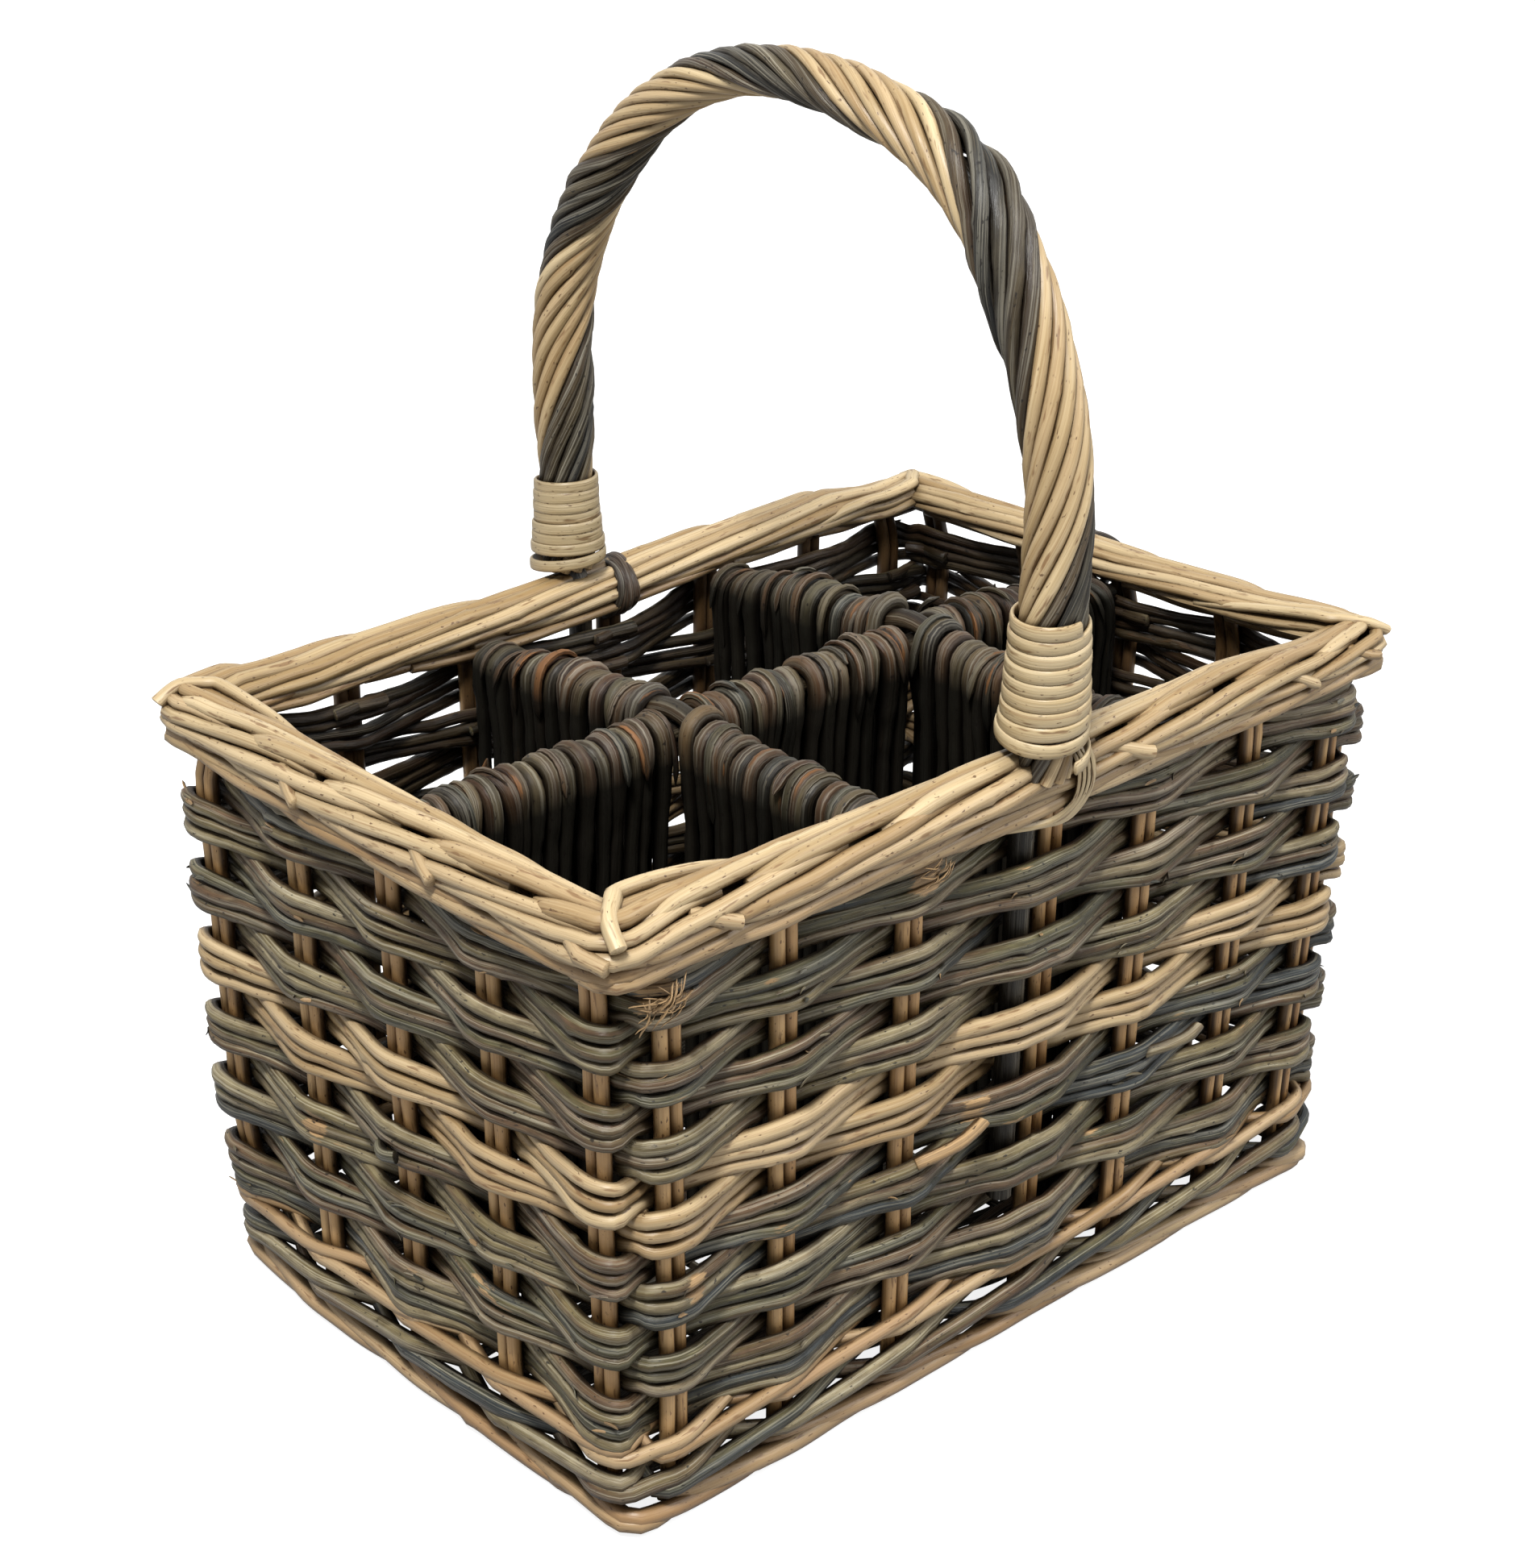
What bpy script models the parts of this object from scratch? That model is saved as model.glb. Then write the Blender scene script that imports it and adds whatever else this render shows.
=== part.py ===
"""Willow basket for six bottles, with a fixed arched handle and inside partitions.

The origin is on the ground below the middle of the basket. X runs along the
length, Y across the width, where the handle spans, and Z up. Lengths in metres.
"""
import math

import bmesh
import bpy
from mathutils import Vector

# Lengths used all over: the gap between pieces that lie on each other, and one millimetre.
seat_gap = 0.0003
mm = 0.001
weld_distance = 0.00001

# Wall: the line of the stakes, given just below the top border, leaning out upwards.
basket_height = 0.224
border_height = 0.0217
stake_line_half_length = 0.1725
stake_line_half_width = 0.108
stake_line_drop = 0.002
end_wall_lean_share = 0.0367
side_wall_lean_share = 0.0136

# Upright stakes, each a pair of rods side by side.
stake_rod_radius = 0.0026
corner_stake_length_inset = 0.0181
corner_stake_width_inset = 0.0107
side_stake_shares = (0.355, 0.698, 1.0)
end_stake_shares = (0.497, 1.0)
stake_tip_degrees = 75
stake_tip_steps = 6

# Foot border, base and top border.
foot_height = 0.009
foot_width = 0.016
foot_inset = 0.002
foot_bevel = 0.0025
base_thickness = 0.006
border_width = 0.0195
border_overhang = 0.002
border_bevel = 0.0055
corner_bulge = 0.0022

# The rim is handmade and lies lower along the back and the right end: tables of place along
# the wall and drop, both as shares, the drop as a share of the rim's deepest sag.
rim_sag = 0.0095
back_sag_shares = ((-0.9, 0.0), (-0.72, 0.42), (-0.174, 0.79), (0.638, 0.79), (1.0, 1.0))
end_sag_shares = ((-0.9, 0.16), (-0.556, 0.53), (0.0, 0.84), (1.0, 1.0))
back_ramp_shares = (0.0, 0.85)
end_ramp_shares = (0.35, 0.9)

# Room left over a stake pair where the border slopes above it.
stake_slope_gap = 0.0006

# Ridges of the base weave, which run the long way.
base_ridge_count = 16
base_ridge_height = 0.0026
base_ridge_shares = ((0.0, 0.0), (0.3, 1.0), (0.7, 1.0))

# Weave bands and wales, which pass outside and inside of alternate stakes.
band_count = 12
buff_bands = (6, 7)
band_thickness = 0.0048
stake_flat_margin = 0.0018
outer_corner_margin = 0.0062
inner_corner_margin = 0.0005
corner_ease = 0.003
wale_height = 0.0124
foot_gap = 0.00345
weave_top_gap = 0.00605

# Heights that follow from the sizes above.
border_base = basket_height - border_height
stake_top_height = border_base - seat_gap
stake_line_height = stake_top_height - stake_line_drop
weave_foot_height = foot_height + foot_gap + 2 * (wale_height + seat_gap)
weave_top_height = stake_top_height - weave_top_gap
band_pitch = (weave_top_height - weave_foot_height + seat_gap) / band_count

# Partitions: dark rods folded over round rails.
rail_radius = 0.0035
rail_lift = 0.0022
rail_height = border_base + rail_lift
rail_clearance = 0.00035
rail_hump_half_span = 0.03
cross_rail_share = 0.3188
cross_rail_place = cross_rail_share * stake_line_half_length
partition_rod = 0.005
partition_foot_half = 0.0055
partition_waist_half = 0.0065
partition_waist_drop = 0.0545
partition_waist_height = rail_height - partition_waist_drop
rail_crossing_margin = 0.0012
partition_hump_shares = (0.0, 0.08, 0.16, 0.25, 1.0)

# Handle: a core, wrapped with rods in two colours, and bound with cane at both feet.
# It stands a little to the left, beside the pair of rods in the middle of each side.
handle_core_radius = 0.0043
handle_place = -0.005
handle_stake_place = 0.008
handle_stick_foot = 0.056
handle_foot_outset = 0.006
handle_spread = 0.0025
handle_foot_half_span = stake_line_half_width + handle_foot_outset
handle_half_span = handle_foot_half_span + handle_spread
handle_foot_sink = 0.0095
handle_leg_length = 0.0805
handle_foot_height = basket_height - handle_foot_sink
handle_shoulder_height = handle_foot_height + handle_leg_length
handle_crown_shift = -0.0035
wrap_inner_clearance = 0.00055
wrap_crown_radius = 0.008
wrap_leg_radius = 0.0102
wrap_bound_radius = 0.0074
wrap_foot_radius = 0.0094
wrap_swell_length = 0.014
buff_wrap_rods = 6
dark_wrap_rods = 5
wrap_turns = 4.35
wrap_first_degrees = -68
wrap_valley_share = 0.84
binding_height = 0.043
binding_loops = 10
binding_rod_radius = 0.00172
binding_clearance = 0.0005
binding_seat_clearance = 0.0005

# Lashing and ties on the top border.
lashing_radius = 0.002
lashing_drop = 0.004
lashing_reach = 0.026
lashing_start = 0.009
tie_thickness = 0.0016
tie_width = 0.008
far_tie_place = 0.018
cutter_overrun = 0.004

# Counts of facets along curved pieces.
wrap_stations = 76
binding_stations = 240
core_stations = 40
rail_stations = 15
rail_resolution = 2
rod_resolution = 2
cane_resolution = 1
pocket_sides = 20
ridge_steps = 4
loop_points = 16

BUFF = ((0.58, 0.40, 0.20, 1.0), 0.55)
DARK = ((0.085, 0.075, 0.055, 1.0), 0.65)
CANE = ((0.70, 0.52, 0.29, 1.0), 0.45)
BROWN = ((0.07, 0.045, 0.03, 1.0), 0.7)


def clear_scene():
    for obj in list(bpy.data.objects):
        bpy.data.objects.remove(obj)


def new_collection(name):
    collection = bpy.data.collections.new(name)
    bpy.context.scene.collection.children.link(collection)
    return collection


def material(name, look):
    colour, roughness = look
    mat = bpy.data.materials.new(name)
    mat.use_nodes = True
    shader = mat.node_tree.nodes["Principled BSDF"]
    shader.inputs["Base Color"].default_value = colour
    shader.inputs["Roughness"].default_value = roughness
    shader.inputs["Metallic"].default_value = 0.0
    mat.diffuse_color = colour
    return mat


def add_object(name, data, look, collection):
    obj = bpy.data.objects.new(name, data)
    collection.objects.link(obj)
    if look is not None:
        if not data.materials:
            data.materials.append(None)
        obj.material_slots[0].link = "OBJECT"
        obj.material_slots[0].material = material(name, look)
    return obj


def mesh_from_faces(name, points, faces):
    mesh = bpy.data.meshes.new(name)
    mesh.from_pydata([tuple(p) for p in points], [], faces)
    work = bmesh.new()
    work.from_mesh(mesh)
    bmesh.ops.recalc_face_normals(work, faces=work.faces)
    work.to_mesh(mesh)
    work.free()
    return mesh


def wall_half_length(height):
    return stake_line_half_length - end_wall_lean_share * (stake_line_height - height)


def wall_half_width(height):
    return stake_line_half_width - side_wall_lean_share * (stake_line_height - height)


def table_share(table, place):
    """Reads a table of places and values, straight between its rows and level beyond them."""
    for (place_a, value_a), (place_b, value_b) in zip(table, table[1:]):
        if place <= place_b:
            share = max(0.0, (place - place_a) / (place_b - place_a))
            return value_a + (value_b - value_a) * share
    return table[-1][1]


def ramp_share(place, ramp):
    share = min(1.0, max(0.0, (place - ramp[0]) / (ramp[1] - ramp[0])))
    return share * share * (3 - 2 * share)


def rim_drop(x, y):
    """How far the rim lies below its full height over one place in plan."""
    along = x / stake_line_half_length
    across = y / stake_line_half_width
    back = table_share(back_sag_shares, along) * ramp_share(across, back_ramp_shares)
    end = table_share(end_sag_shares, across) * ramp_share(along, end_ramp_shares)
    return rim_sag * max(back, end)


def settled_height(x, y, height):
    """A wall height over one place in plan: the drop grows from the foot up to the rim."""
    foot = foot_height + seat_gap
    share = min(1.0, max(0.0, (height - foot) / (border_base - foot)))
    return height - rim_drop(x, y) * share


def stake_spots(height):
    """Stake places at one height, anticlockwise from the near left corner of the front.

    Each is its point, the direction along the wall and the direction outwards.
    """
    length_scale = wall_half_length(height) / stake_line_half_length
    width_scale = wall_half_width(height) / stake_line_half_width
    corner_length = stake_line_half_length - corner_stake_length_inset
    corner_width = stake_line_half_width - corner_stake_width_inset
    side = [share * corner_length * length_scale for share in side_stake_shares]
    end = [share * corner_width * width_scale for share in end_stake_shares]
    side_places = [-place for place in reversed(side)] + [0.0] + side
    end_places = [-place for place in reversed(end)] + [0.0] + end
    far = wall_half_length(height)
    wide = wall_half_width(height)
    spots = [(Vector((x, -wide)), Vector((1, 0)), Vector((0, -1))) for x in side_places]
    spots += [(Vector((far, y)), Vector((0, 1)), Vector((1, 0))) for y in end_places]
    spots += [(Vector((-x, wide)), Vector((-1, 0)), Vector((0, 1))) for x in side_places]
    spots += [(Vector((-far, -y)), Vector((0, -1)), Vector((-1, 0))) for y in end_places]
    return spots


side_count = 2 * len(side_stake_shares) + 1
end_count = 2 * len(end_stake_shares) + 1
stake_count = 2 * (side_count + end_count)
handle_spots = (len(side_stake_shares), side_count + end_count + len(side_stake_shares))
first_of_wall = (0, side_count, side_count + end_count, 2 * side_count + end_count)
last_of_wall = tuple((index - 1) % stake_count for index in first_of_wall)


def band_path(height, row):
    """The closed wavy line of one weave row, outside the stakes where row + spot is odd."""
    pair_half = 2 * stake_rod_radius
    path = []
    for index, (spot, along, outward) in enumerate(stake_spots(height)):
        before = pair_half + stake_flat_margin
        after = pair_half + stake_flat_margin
        offset = stake_rod_radius + seat_gap + band_thickness / 2
        if index in handle_spots:
            stick_side = handle_core_radius + stake_flat_margin - handle_place
            rods_side = handle_stake_place + pair_half + stake_flat_margin
            before, after = stick_side, rods_side
            if along.x < 0:
                before, after = rods_side, stick_side
            if height > handle_stick_foot - band_pitch:
                offset = handle_core_radius + seat_gap + band_thickness / 2
        outside = (index + row) % 2 == 1
        shift = outward * (offset if outside else -offset)
        eased = outward * (offset - corner_ease)
        reach = pair_half + outer_corner_margin
        if index in first_of_wall:
            if outside:
                path.append(spot - along * reach + eased)
            else:
                before = pair_half + inner_corner_margin
        if index in last_of_wall and not outside:
            after = pair_half + inner_corner_margin
        path.append(spot - along * before + shift)
        path.append(spot + along * after + shift)
        if index in last_of_wall and outside:
            path.append(spot + along * reach + eased)
    return path


def wall_line(height, offset):
    """The closed line of the wall, moved outwards by offset, with rounded corners."""
    spots = stake_spots(height)
    line = []
    for index, (spot, _, outward) in enumerate(spots):
        line.append(spot + outward * offset)
        if index in last_of_wall:
            following = spots[(index + 1) % stake_count]
            outer = (outward + following[2]).normalized()
            middle = (spot + following[0]) / 2
            line.append(middle + outer * (offset + corner_bulge))
    return line


def ring_wall(name, lines, low, high, thickness, look, collection, bevel=0.0, settle=False):
    """A closed ring between a low and a high line in plan: a ribbon given its thickness.

    Where it settles, its heights follow the wall's lower back and right end.
    """
    low_line, high_line = lines
    count = len(low_line)
    points = [Vector((p.x, p.y, low)) for p in low_line]
    points += [Vector((p.x, p.y, high)) for p in high_line]
    if settle:
        points = [Vector((p.x, p.y, settled_height(p.x, p.y, p.z))) for p in points]
    faces = []
    for index in range(count):
        following = (index + 1) % count
        faces.append((index, following, count + following, count + index))
    obj = add_object(name, mesh_from_faces(name, points, faces), look, collection)
    solid = obj.modifiers.new("thickness", "SOLIDIFY")
    solid.thickness = thickness
    solid.offset = 0.0
    solid.use_even_offset = True
    solid.use_quality_normals = True
    if bevel:
        edge = obj.modifiers.new("rounding", "BEVEL")
        edge.width = bevel
        edge.segments = 2
        edge.limit_method = "ANGLE"
        edge.angle_limit = math.radians(60)
    return obj


def stake_outline(name, length):
    """Two rods side by side as one outline, extruded upwards from its foot."""
    curve = bpy.data.curves.new(name, "CURVE")
    curve.dimensions = "2D"
    curve.fill_mode = "BOTH"
    curve.extrude = length / 2
    corners = []
    for side in (1, -1):
        for step in range(stake_tip_steps + 1):
            angle = math.radians(stake_tip_degrees) * (2 * step / stake_tip_steps - 1)
            x = side * (stake_rod_radius + stake_rod_radius * math.cos(angle))
            y = side * stake_rod_radius * math.sin(angle)
            corners.append((x, y))
    spline = curve.splines.new("POLY")
    spline.points.add(len(corners) - 1)
    spline.use_cyclic_u = True
    for point, (x, y) in zip(spline.points, corners):
        point.co = (x, y, 0.0, 1.0)
    return curve


def mesh_of(obj):
    """Turns a curve object into a mesh object with welded caps, in the same place."""
    graph = bpy.context.evaluated_depsgraph_get()
    mesh = bpy.data.meshes.new_from_object(obj.evaluated_get(graph))
    work = bmesh.new()
    work.from_mesh(mesh)
    bmesh.ops.remove_doubles(work, verts=work.verts, dist=weld_distance)
    bmesh.ops.recalc_face_normals(work, faces=work.faces)
    work.to_mesh(mesh)
    work.free()
    made = bpy.data.objects.new(obj.name, mesh)
    obj.users_collection[0].objects.link(made)
    made.matrix_world = obj.matrix_world.copy()
    name = obj.name
    bpy.data.objects.remove(obj)
    made.name = name
    return made


def round_rod(name, path, radius, resolution, look, collection):
    curve = bpy.data.curves.new(name, "CURVE")
    curve.dimensions = "3D"
    curve.bevel_depth = radius
    curve.bevel_resolution = resolution
    curve.use_fill_caps = True
    curve.twist_mode = "MINIMUM"
    spline = curve.splines.new("POLY")
    spline.points.add(len(path) - 1)
    for point, place in zip(spline.points, path):
        point.co = (place[0], place[1], place[2], 1.0)
    obj = add_object(name, curve, look, collection)
    return obj


def cut(obj, cutters):
    for cutter in cutters:
        step = obj.modifiers.new("cut " + cutter.name, "BOOLEAN")
        step.operation = "DIFFERENCE"
        step.solver = "EXACT"
        step.object = cutter


def as_cutter(obj):
    obj.hide_render = True
    obj.display_type = "WIRE"
    return obj


def make_stakes(collection):
    foot = foot_height + seat_gap
    low_spots = stake_spots(foot)
    high_spots = stake_spots(stake_top_height)
    for index in range(stake_count):
        low, along, outward = low_spots[index]
        high, high_along = high_spots[index][:2]
        if index in handle_spots:
            low = Vector((handle_stake_place, low.y))
            high = Vector((handle_stake_place, high.y))
        base = Vector((low.x, low.y, foot))
        reach = high_along * (2 * stake_rod_radius)
        spots = (high - reach, high, high + reach)
        top = min(settled_height(spot.x, spot.y, stake_top_height) for spot in spots)
        tip = Vector((high.x, high.y, top - stake_slope_gap))
        name = "stake_pair_%02d" % (index + 1)
        obj = mesh_of(add_object(name, stake_outline(name, (tip - base).length), BUFF, collection))
        rise = (tip - base).normalized()
        side = Vector((along.x, along.y, 0.0))
        side = (side - rise * side.dot(rise)).normalized()
        front = rise.cross(side)
        turn = [[side[row], front[row], rise[row]] for row in range(3)]
        matrix = obj.matrix_world.to_3x3()
        for row in range(3):
            for column in range(3):
                matrix[row][column] = turn[row][column]
        obj.rotation_euler = matrix.to_euler()
        obj.location = (base + tip) / 2


def make_weave(collection):
    half = (band_pitch - seat_gap) / 2
    for row in range(1, band_count + 1):
        middle = weave_top_height - half - (row - 1) * band_pitch
        look = BUFF if row in buff_bands else DARK
        name = "weave_band_%02d" % row
        low = middle - half
        high = middle + half
        lines = (band_path(low, row), band_path(high, row))
        ring_wall(name, lines, low, high, band_thickness, look, collection, settle=True)
    below = weave_foot_height - seat_gap
    for row, name, look in ((band_count + 1, "wale_buff", BUFF), (band_count + 2, "wale_dark", DARK)):
        low = below - wale_height
        lines = (band_path(low, row), band_path(below, row))
        ring_wall(name, lines, low, below, band_thickness, look, collection, settle=True)
        below -= wale_height + seat_gap


def ridged_panel(name, outline, low, high, look, collection):
    """A flat base with ridges along X on its top: one row of corners at each edge of a ridge."""
    near = min(point.y for point in outline)
    far = max(point.y for point in outline)
    step = (far - near) / base_ridge_count
    rows = []
    for ridge in range(base_ridge_count):
        for place, rise in base_ridge_shares:
            rows.append((near + step * (ridge + place), high - base_ridge_height * (1 - rise)))
    rows.append((far, high - base_ridge_height))
    points = []
    for y, top in rows:
        crossings = []
        for a, b in zip(outline, outline[1:] + outline[:1]):
            if a.y != b.y and (a.y - y) * (b.y - y) <= 0:
                crossings.append(a.x + (b.x - a.x) * (y - a.y) / (b.y - a.y))
        left = min(crossings)
        right = max(crossings)
        points += [(left, y, low), (right, y, low), (right, y, top), (left, y, top)]
    faces = [(0, 1, 2, 3), tuple(len(points) - 4 + corner for corner in range(4))]
    for row in range(len(rows) - 1):
        for corner in range(4):
            after = (corner + 1) % 4
            faces.append((4 * row + corner, 4 * row + after, 4 * row + 4 + after, 4 * row + 4 + corner))
    return add_object(name, mesh_from_faces(name, points, faces), look, collection)


def make_foot_and_base(collection):
    middle = foot_height / 2
    line = wall_line(middle, -foot_inset)
    ring_wall("foot_border", (line, line), 0.0, foot_height, foot_width, BUFF, collection, foot_bevel)
    inset = stake_rod_radius + seat_gap + band_thickness + seat_gap
    outline = wall_line(foot_height, -inset)
    low = foot_height + seat_gap
    ridged_panel("base_panel", outline, low, low + base_thickness, DARK, collection)


def make_border(collection, cutters):
    line = wall_line(border_base + border_height / 2, border_overhang)
    border = ring_wall("top_border", (line, line), border_base, basket_height, border_width, BUFF,
                       collection, border_bevel, settle=True)
    cut(border, cutters)


def core_path():
    """The handle's middle line, from the foot of the near stick over to the far one."""
    near = []
    stick_top = stake_top_height
    near.append((-wall_half_width(handle_stick_foot), handle_stick_foot))
    near.append((-wall_half_width(stick_top), stick_top))
    near.append((-handle_foot_half_span, handle_foot_height))
    middle_height = (handle_foot_height + handle_shoulder_height) / 2
    near.append((-(handle_foot_half_span + handle_half_span) / 2, middle_height))
    path = list(near)
    steps = core_stations - 2 * len(near)
    for step in range(steps + 1):
        angle = math.pi * step / steps
        lean = handle_crown_shift * math.sin(angle)
        path.append((lean - handle_half_span * math.cos(angle),
                     handle_shoulder_height + handle_half_span * math.sin(angle)))
    path += [(-y, z) for y, z in reversed(near)]
    return [Vector((handle_place, y, z)) for y, z in path]


def arch_frames(count):
    """Evenly spaced points on the wrapped part of the handle.

    Each is its point, its direction, the direction away from the arch's middle and
    the distance along the handle.
    """
    path = core_path()
    first = 2
    last = len(path) - 3
    fine = path[first:last + 1]
    runs = [0.0]
    for a, b in zip(fine, fine[1:]):
        runs.append(runs[-1] + (b - a).length)
    frames = []
    for step in range(count + 1):
        place = runs[-1] * step / count
        index = max(i for i in range(len(runs) - 1) if runs[i] <= place or i == 0)
        share = (place - runs[index]) / (runs[index + 1] - runs[index])
        point = fine[index].lerp(fine[index + 1], share)
        frames.append((point, place))
    made = []
    for index, (point, place) in enumerate(frames):
        after = frames[min(index + 1, count)][0]
        before = frames[max(index - 1, 0)][0]
        along = (after - before).normalized()
        outward = Vector((1, 0, 0)).cross(along)
        made.append((point, along, outward, place))
    return made, runs[-1]


def wrap_radius(place, total):
    """Outer radius of the wrap: drawn in under the bindings, fuller on the legs."""
    reach = min(place, total - place)
    if reach < binding_height:
        share = reach / binding_height
        return wrap_foot_radius + (wrap_bound_radius - wrap_foot_radius) * share
    swell = min(1.0, (reach - binding_height) / wrap_swell_length)
    swell = swell * swell * (3 - 2 * swell)
    crown = (reach - binding_height) / (total / 2 - binding_height)
    leg = wrap_leg_radius + (wrap_crown_radius - wrap_leg_radius) * crown
    return wrap_bound_radius + (leg - wrap_bound_radius) * swell


def make_wrap(name, first_rod, rods, look, collection):
    """One colour's group of wrapping rods as one twisted solid with a ridge for each rod."""
    frames, total = arch_frames(wrap_stations)
    rod_angle = 2 * math.pi / (buff_wrap_rods + dark_wrap_rods)
    inner = handle_core_radius + wrap_inner_clearance
    side_gap = seat_gap / inner
    start = math.radians(wrap_first_degrees) + first_rod * rod_angle + side_gap / 2
    span = rods * rod_angle - side_gap
    outer_count = 2 * rods + 1
    inner_count = rods
    points = []
    for point, _, outward, place in frames:
        turn = 2 * math.pi * wrap_turns * place / total
        radius = wrap_radius(place, total)
        for step in range(outer_count):
            angle = start + span * step / (outer_count - 1) + turn
            reach = radius if step % 2 else radius * wrap_valley_share
            points.append(point + outward * reach * math.cos(angle)
                          + Vector((1, 0, 0)) * reach * math.sin(angle))
        for step in range(inner_count):
            angle = start + span * (1 - step / (inner_count - 1)) + turn
            points.append(point + outward * inner * math.cos(angle)
                          + Vector((1, 0, 0)) * inner * math.sin(angle))
    ring = outer_count + inner_count
    faces = [tuple(range(ring)), tuple(range(wrap_stations * ring, (wrap_stations + 1) * ring))]
    for station in range(wrap_stations):
        for step in range(ring):
            following = (step + 1) % ring
            a = station * ring + step
            b = station * ring + following
            c = a + ring
            d = b + ring
            outer_face = step < outer_count - 1
            first_side = step == ring - 1
            if outer_face or first_side:
                faces.append((a, b, c))
                faces.append((b, d, c))
            else:
                faces.append((a, b, d))
                faces.append((a, d, c))
    mesh = mesh_from_faces(name, points, faces)
    obj = add_object(name, mesh, look, collection)
    return obj


def make_binding(name, near, collection):
    """Flat cane wound round a handle foot, one unbroken coil that widens downwards."""
    frames, total = arch_frames(binding_stations)
    count = binding_loops * loop_points
    rise = binding_height - 2 * binding_rod_radius
    path = []
    for step in range(count + 1):
        climb = binding_rod_radius + rise * step / count
        place = climb if near else total - climb
        index = min(int(place / total * binding_stations), binding_stations - 1)
        share = place / total * binding_stations - index
        point = frames[index][0].lerp(frames[index + 1][0], share)
        outward = frames[index][2]
        radius = wrap_radius(place, total) + binding_clearance + binding_rod_radius
        angle = 2 * math.pi * step / loop_points
        if not near:
            angle = -angle
        path.append(point + outward * radius * math.cos(angle)
                    + Vector((1, 0, 0)) * radius * math.sin(angle))
    least = min((path[i] - path[j]).length for i in range(len(path))
                for j in range(i + loop_points // 2, min(len(path), i + 2 * loop_points)))
    print(name, "least gap between turns in mm:", round((least - 2 * binding_rod_radius) / mm, 2))
    return round_rod(name, path, binding_rod_radius, cane_resolution, CANE, collection)


def foot_pocket(name, side, collection):
    """The seat in the top border that takes one bound handle foot."""
    radius = wrap_foot_radius + 2 * binding_rod_radius + binding_clearance + binding_seat_clearance
    depth = border_height
    bpy.ops.mesh.primitive_cylinder_add(vertices=pocket_sides, radius=radius, depth=depth)
    obj = bpy.context.object
    obj.name = name
    for collection_before in list(obj.users_collection):
        collection_before.objects.unlink(obj)
    collection.objects.link(obj)
    bottom = handle_foot_height - binding_seat_clearance
    obj.location = (handle_place, side * handle_foot_half_span, bottom + depth / 2)
    return as_cutter(obj)


def stick_cutter(name, side, collection):
    """The way through the top border that one handle stick takes."""
    path = core_path()
    low = path[1].copy()
    high = path[2].copy()
    slope = (high - low).normalized()
    down = (path[0] - low).normalized()
    run = [low + down * (rim_sag + cutter_overrun), low, high, high + slope * cutter_overrun]
    run = [Vector((p.x, -side * p.y, p.z)) for p in run]
    radius = handle_core_radius + wrap_inner_clearance
    return as_cutter(mesh_of(round_rod(name, run, radius, rod_resolution, None, collection)))


def make_handle(collection):
    round_rod("handle_core", core_path(), handle_core_radius, rod_resolution, BROWN, collection)
    make_wrap("handle_wrap_buff", 0, buff_wrap_rods, BUFF, collection)
    make_wrap("handle_wrap_dark", buff_wrap_rods, dark_wrap_rods, DARK, collection)
    make_binding("near_binding", True, collection)
    make_binding("far_binding", False, collection)


def partition_ridge():
    return rail_radius + rail_clearance + partition_rod


def rail_hump(place):
    """How far a crosswise rail rises to pass over the lengthwise one."""
    full = 2 * rail_radius + seat_gap
    share = max(0.0, 1 - abs(place) / rail_hump_half_span)
    return full * share * share * (3 - 2 * share)


def rail_end(half_line):
    """Where a rail ends: against the inner face of the top border."""
    return half_line + border_overhang - border_width / 2 - seat_gap


def cross_rail_path(place):
    reach = rail_end(wall_half_width(border_base + border_height / 2))
    path = []
    for step in range(rail_stations):
        y = reach * (2 * step / (rail_stations - 1) - 1)
        path.append(Vector((place, y, rail_height + rail_hump(y))))
    return path


def long_rail_path():
    reach = rail_end(wall_half_length(border_base + border_height / 2))
    return [Vector((-reach, 0.0, rail_height)), Vector((reach, 0.0, rail_height))]


def partition_outline():
    """Half section of a partition, from the foot up to the ridge, as width and height."""
    foot = foot_height + seat_gap + base_thickness + seat_gap
    ridge = partition_ridge()
    side = [(partition_foot_half, foot), (partition_waist_half, partition_waist_height)]
    for step in range(ridge_steps + 1):
        angle = math.pi / 2 * step / ridge_steps
        side.append((ridge * math.cos(angle), rail_height + ridge * math.sin(angle)))
    return side


def partition_half(height):
    """Half the thickness of a partition at a height."""
    side = partition_outline()
    for (wide_a, high_a), (wide_b, high_b) in zip(side[:3], side[1:3]):
        if height <= high_b:
            return wide_a + (wide_b - wide_a) * (height - high_a) / (high_b - high_a)
    return partition_ridge()


def partition_mesh(name, ends, shares, hump):
    """A partition along its own X, between two end faces that can slant with height."""
    side = partition_outline()
    outline = [(wide, high) for wide, high in side]
    outline += [(-wide, high) for wide, high in reversed(side[:-1])]
    count = len(outline)
    points = []
    for share in shares:
        for wide, high in outline:
            start, end = ends(high)
            run = start + (end - start) * share
            lift = hump(run) if high >= rail_height else 0.0
            points.append((run, wide, high + lift))
    faces = []
    apex = len(side) - 1
    for first in (0, (len(shares) - 1) * count):
        for step in range(apex - 1):
            left = count - 1 - step
            faces.append((first + step, first + step + 1, first + left - 1, first + left))
        faces.append((first + apex - 1, first + apex, first + apex + 1))
    for station in range(len(shares) - 1):
        for step in range(count):
            following = (step + 1) % count
            a = station * count + step
            b = station * count + following
            faces.append((a, b, b + count, a + count))
    return mesh_from_faces(name, points, faces)


def inner_face(half_line):
    return half_line - stake_rod_radius - 2 * seat_gap - band_thickness


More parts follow.
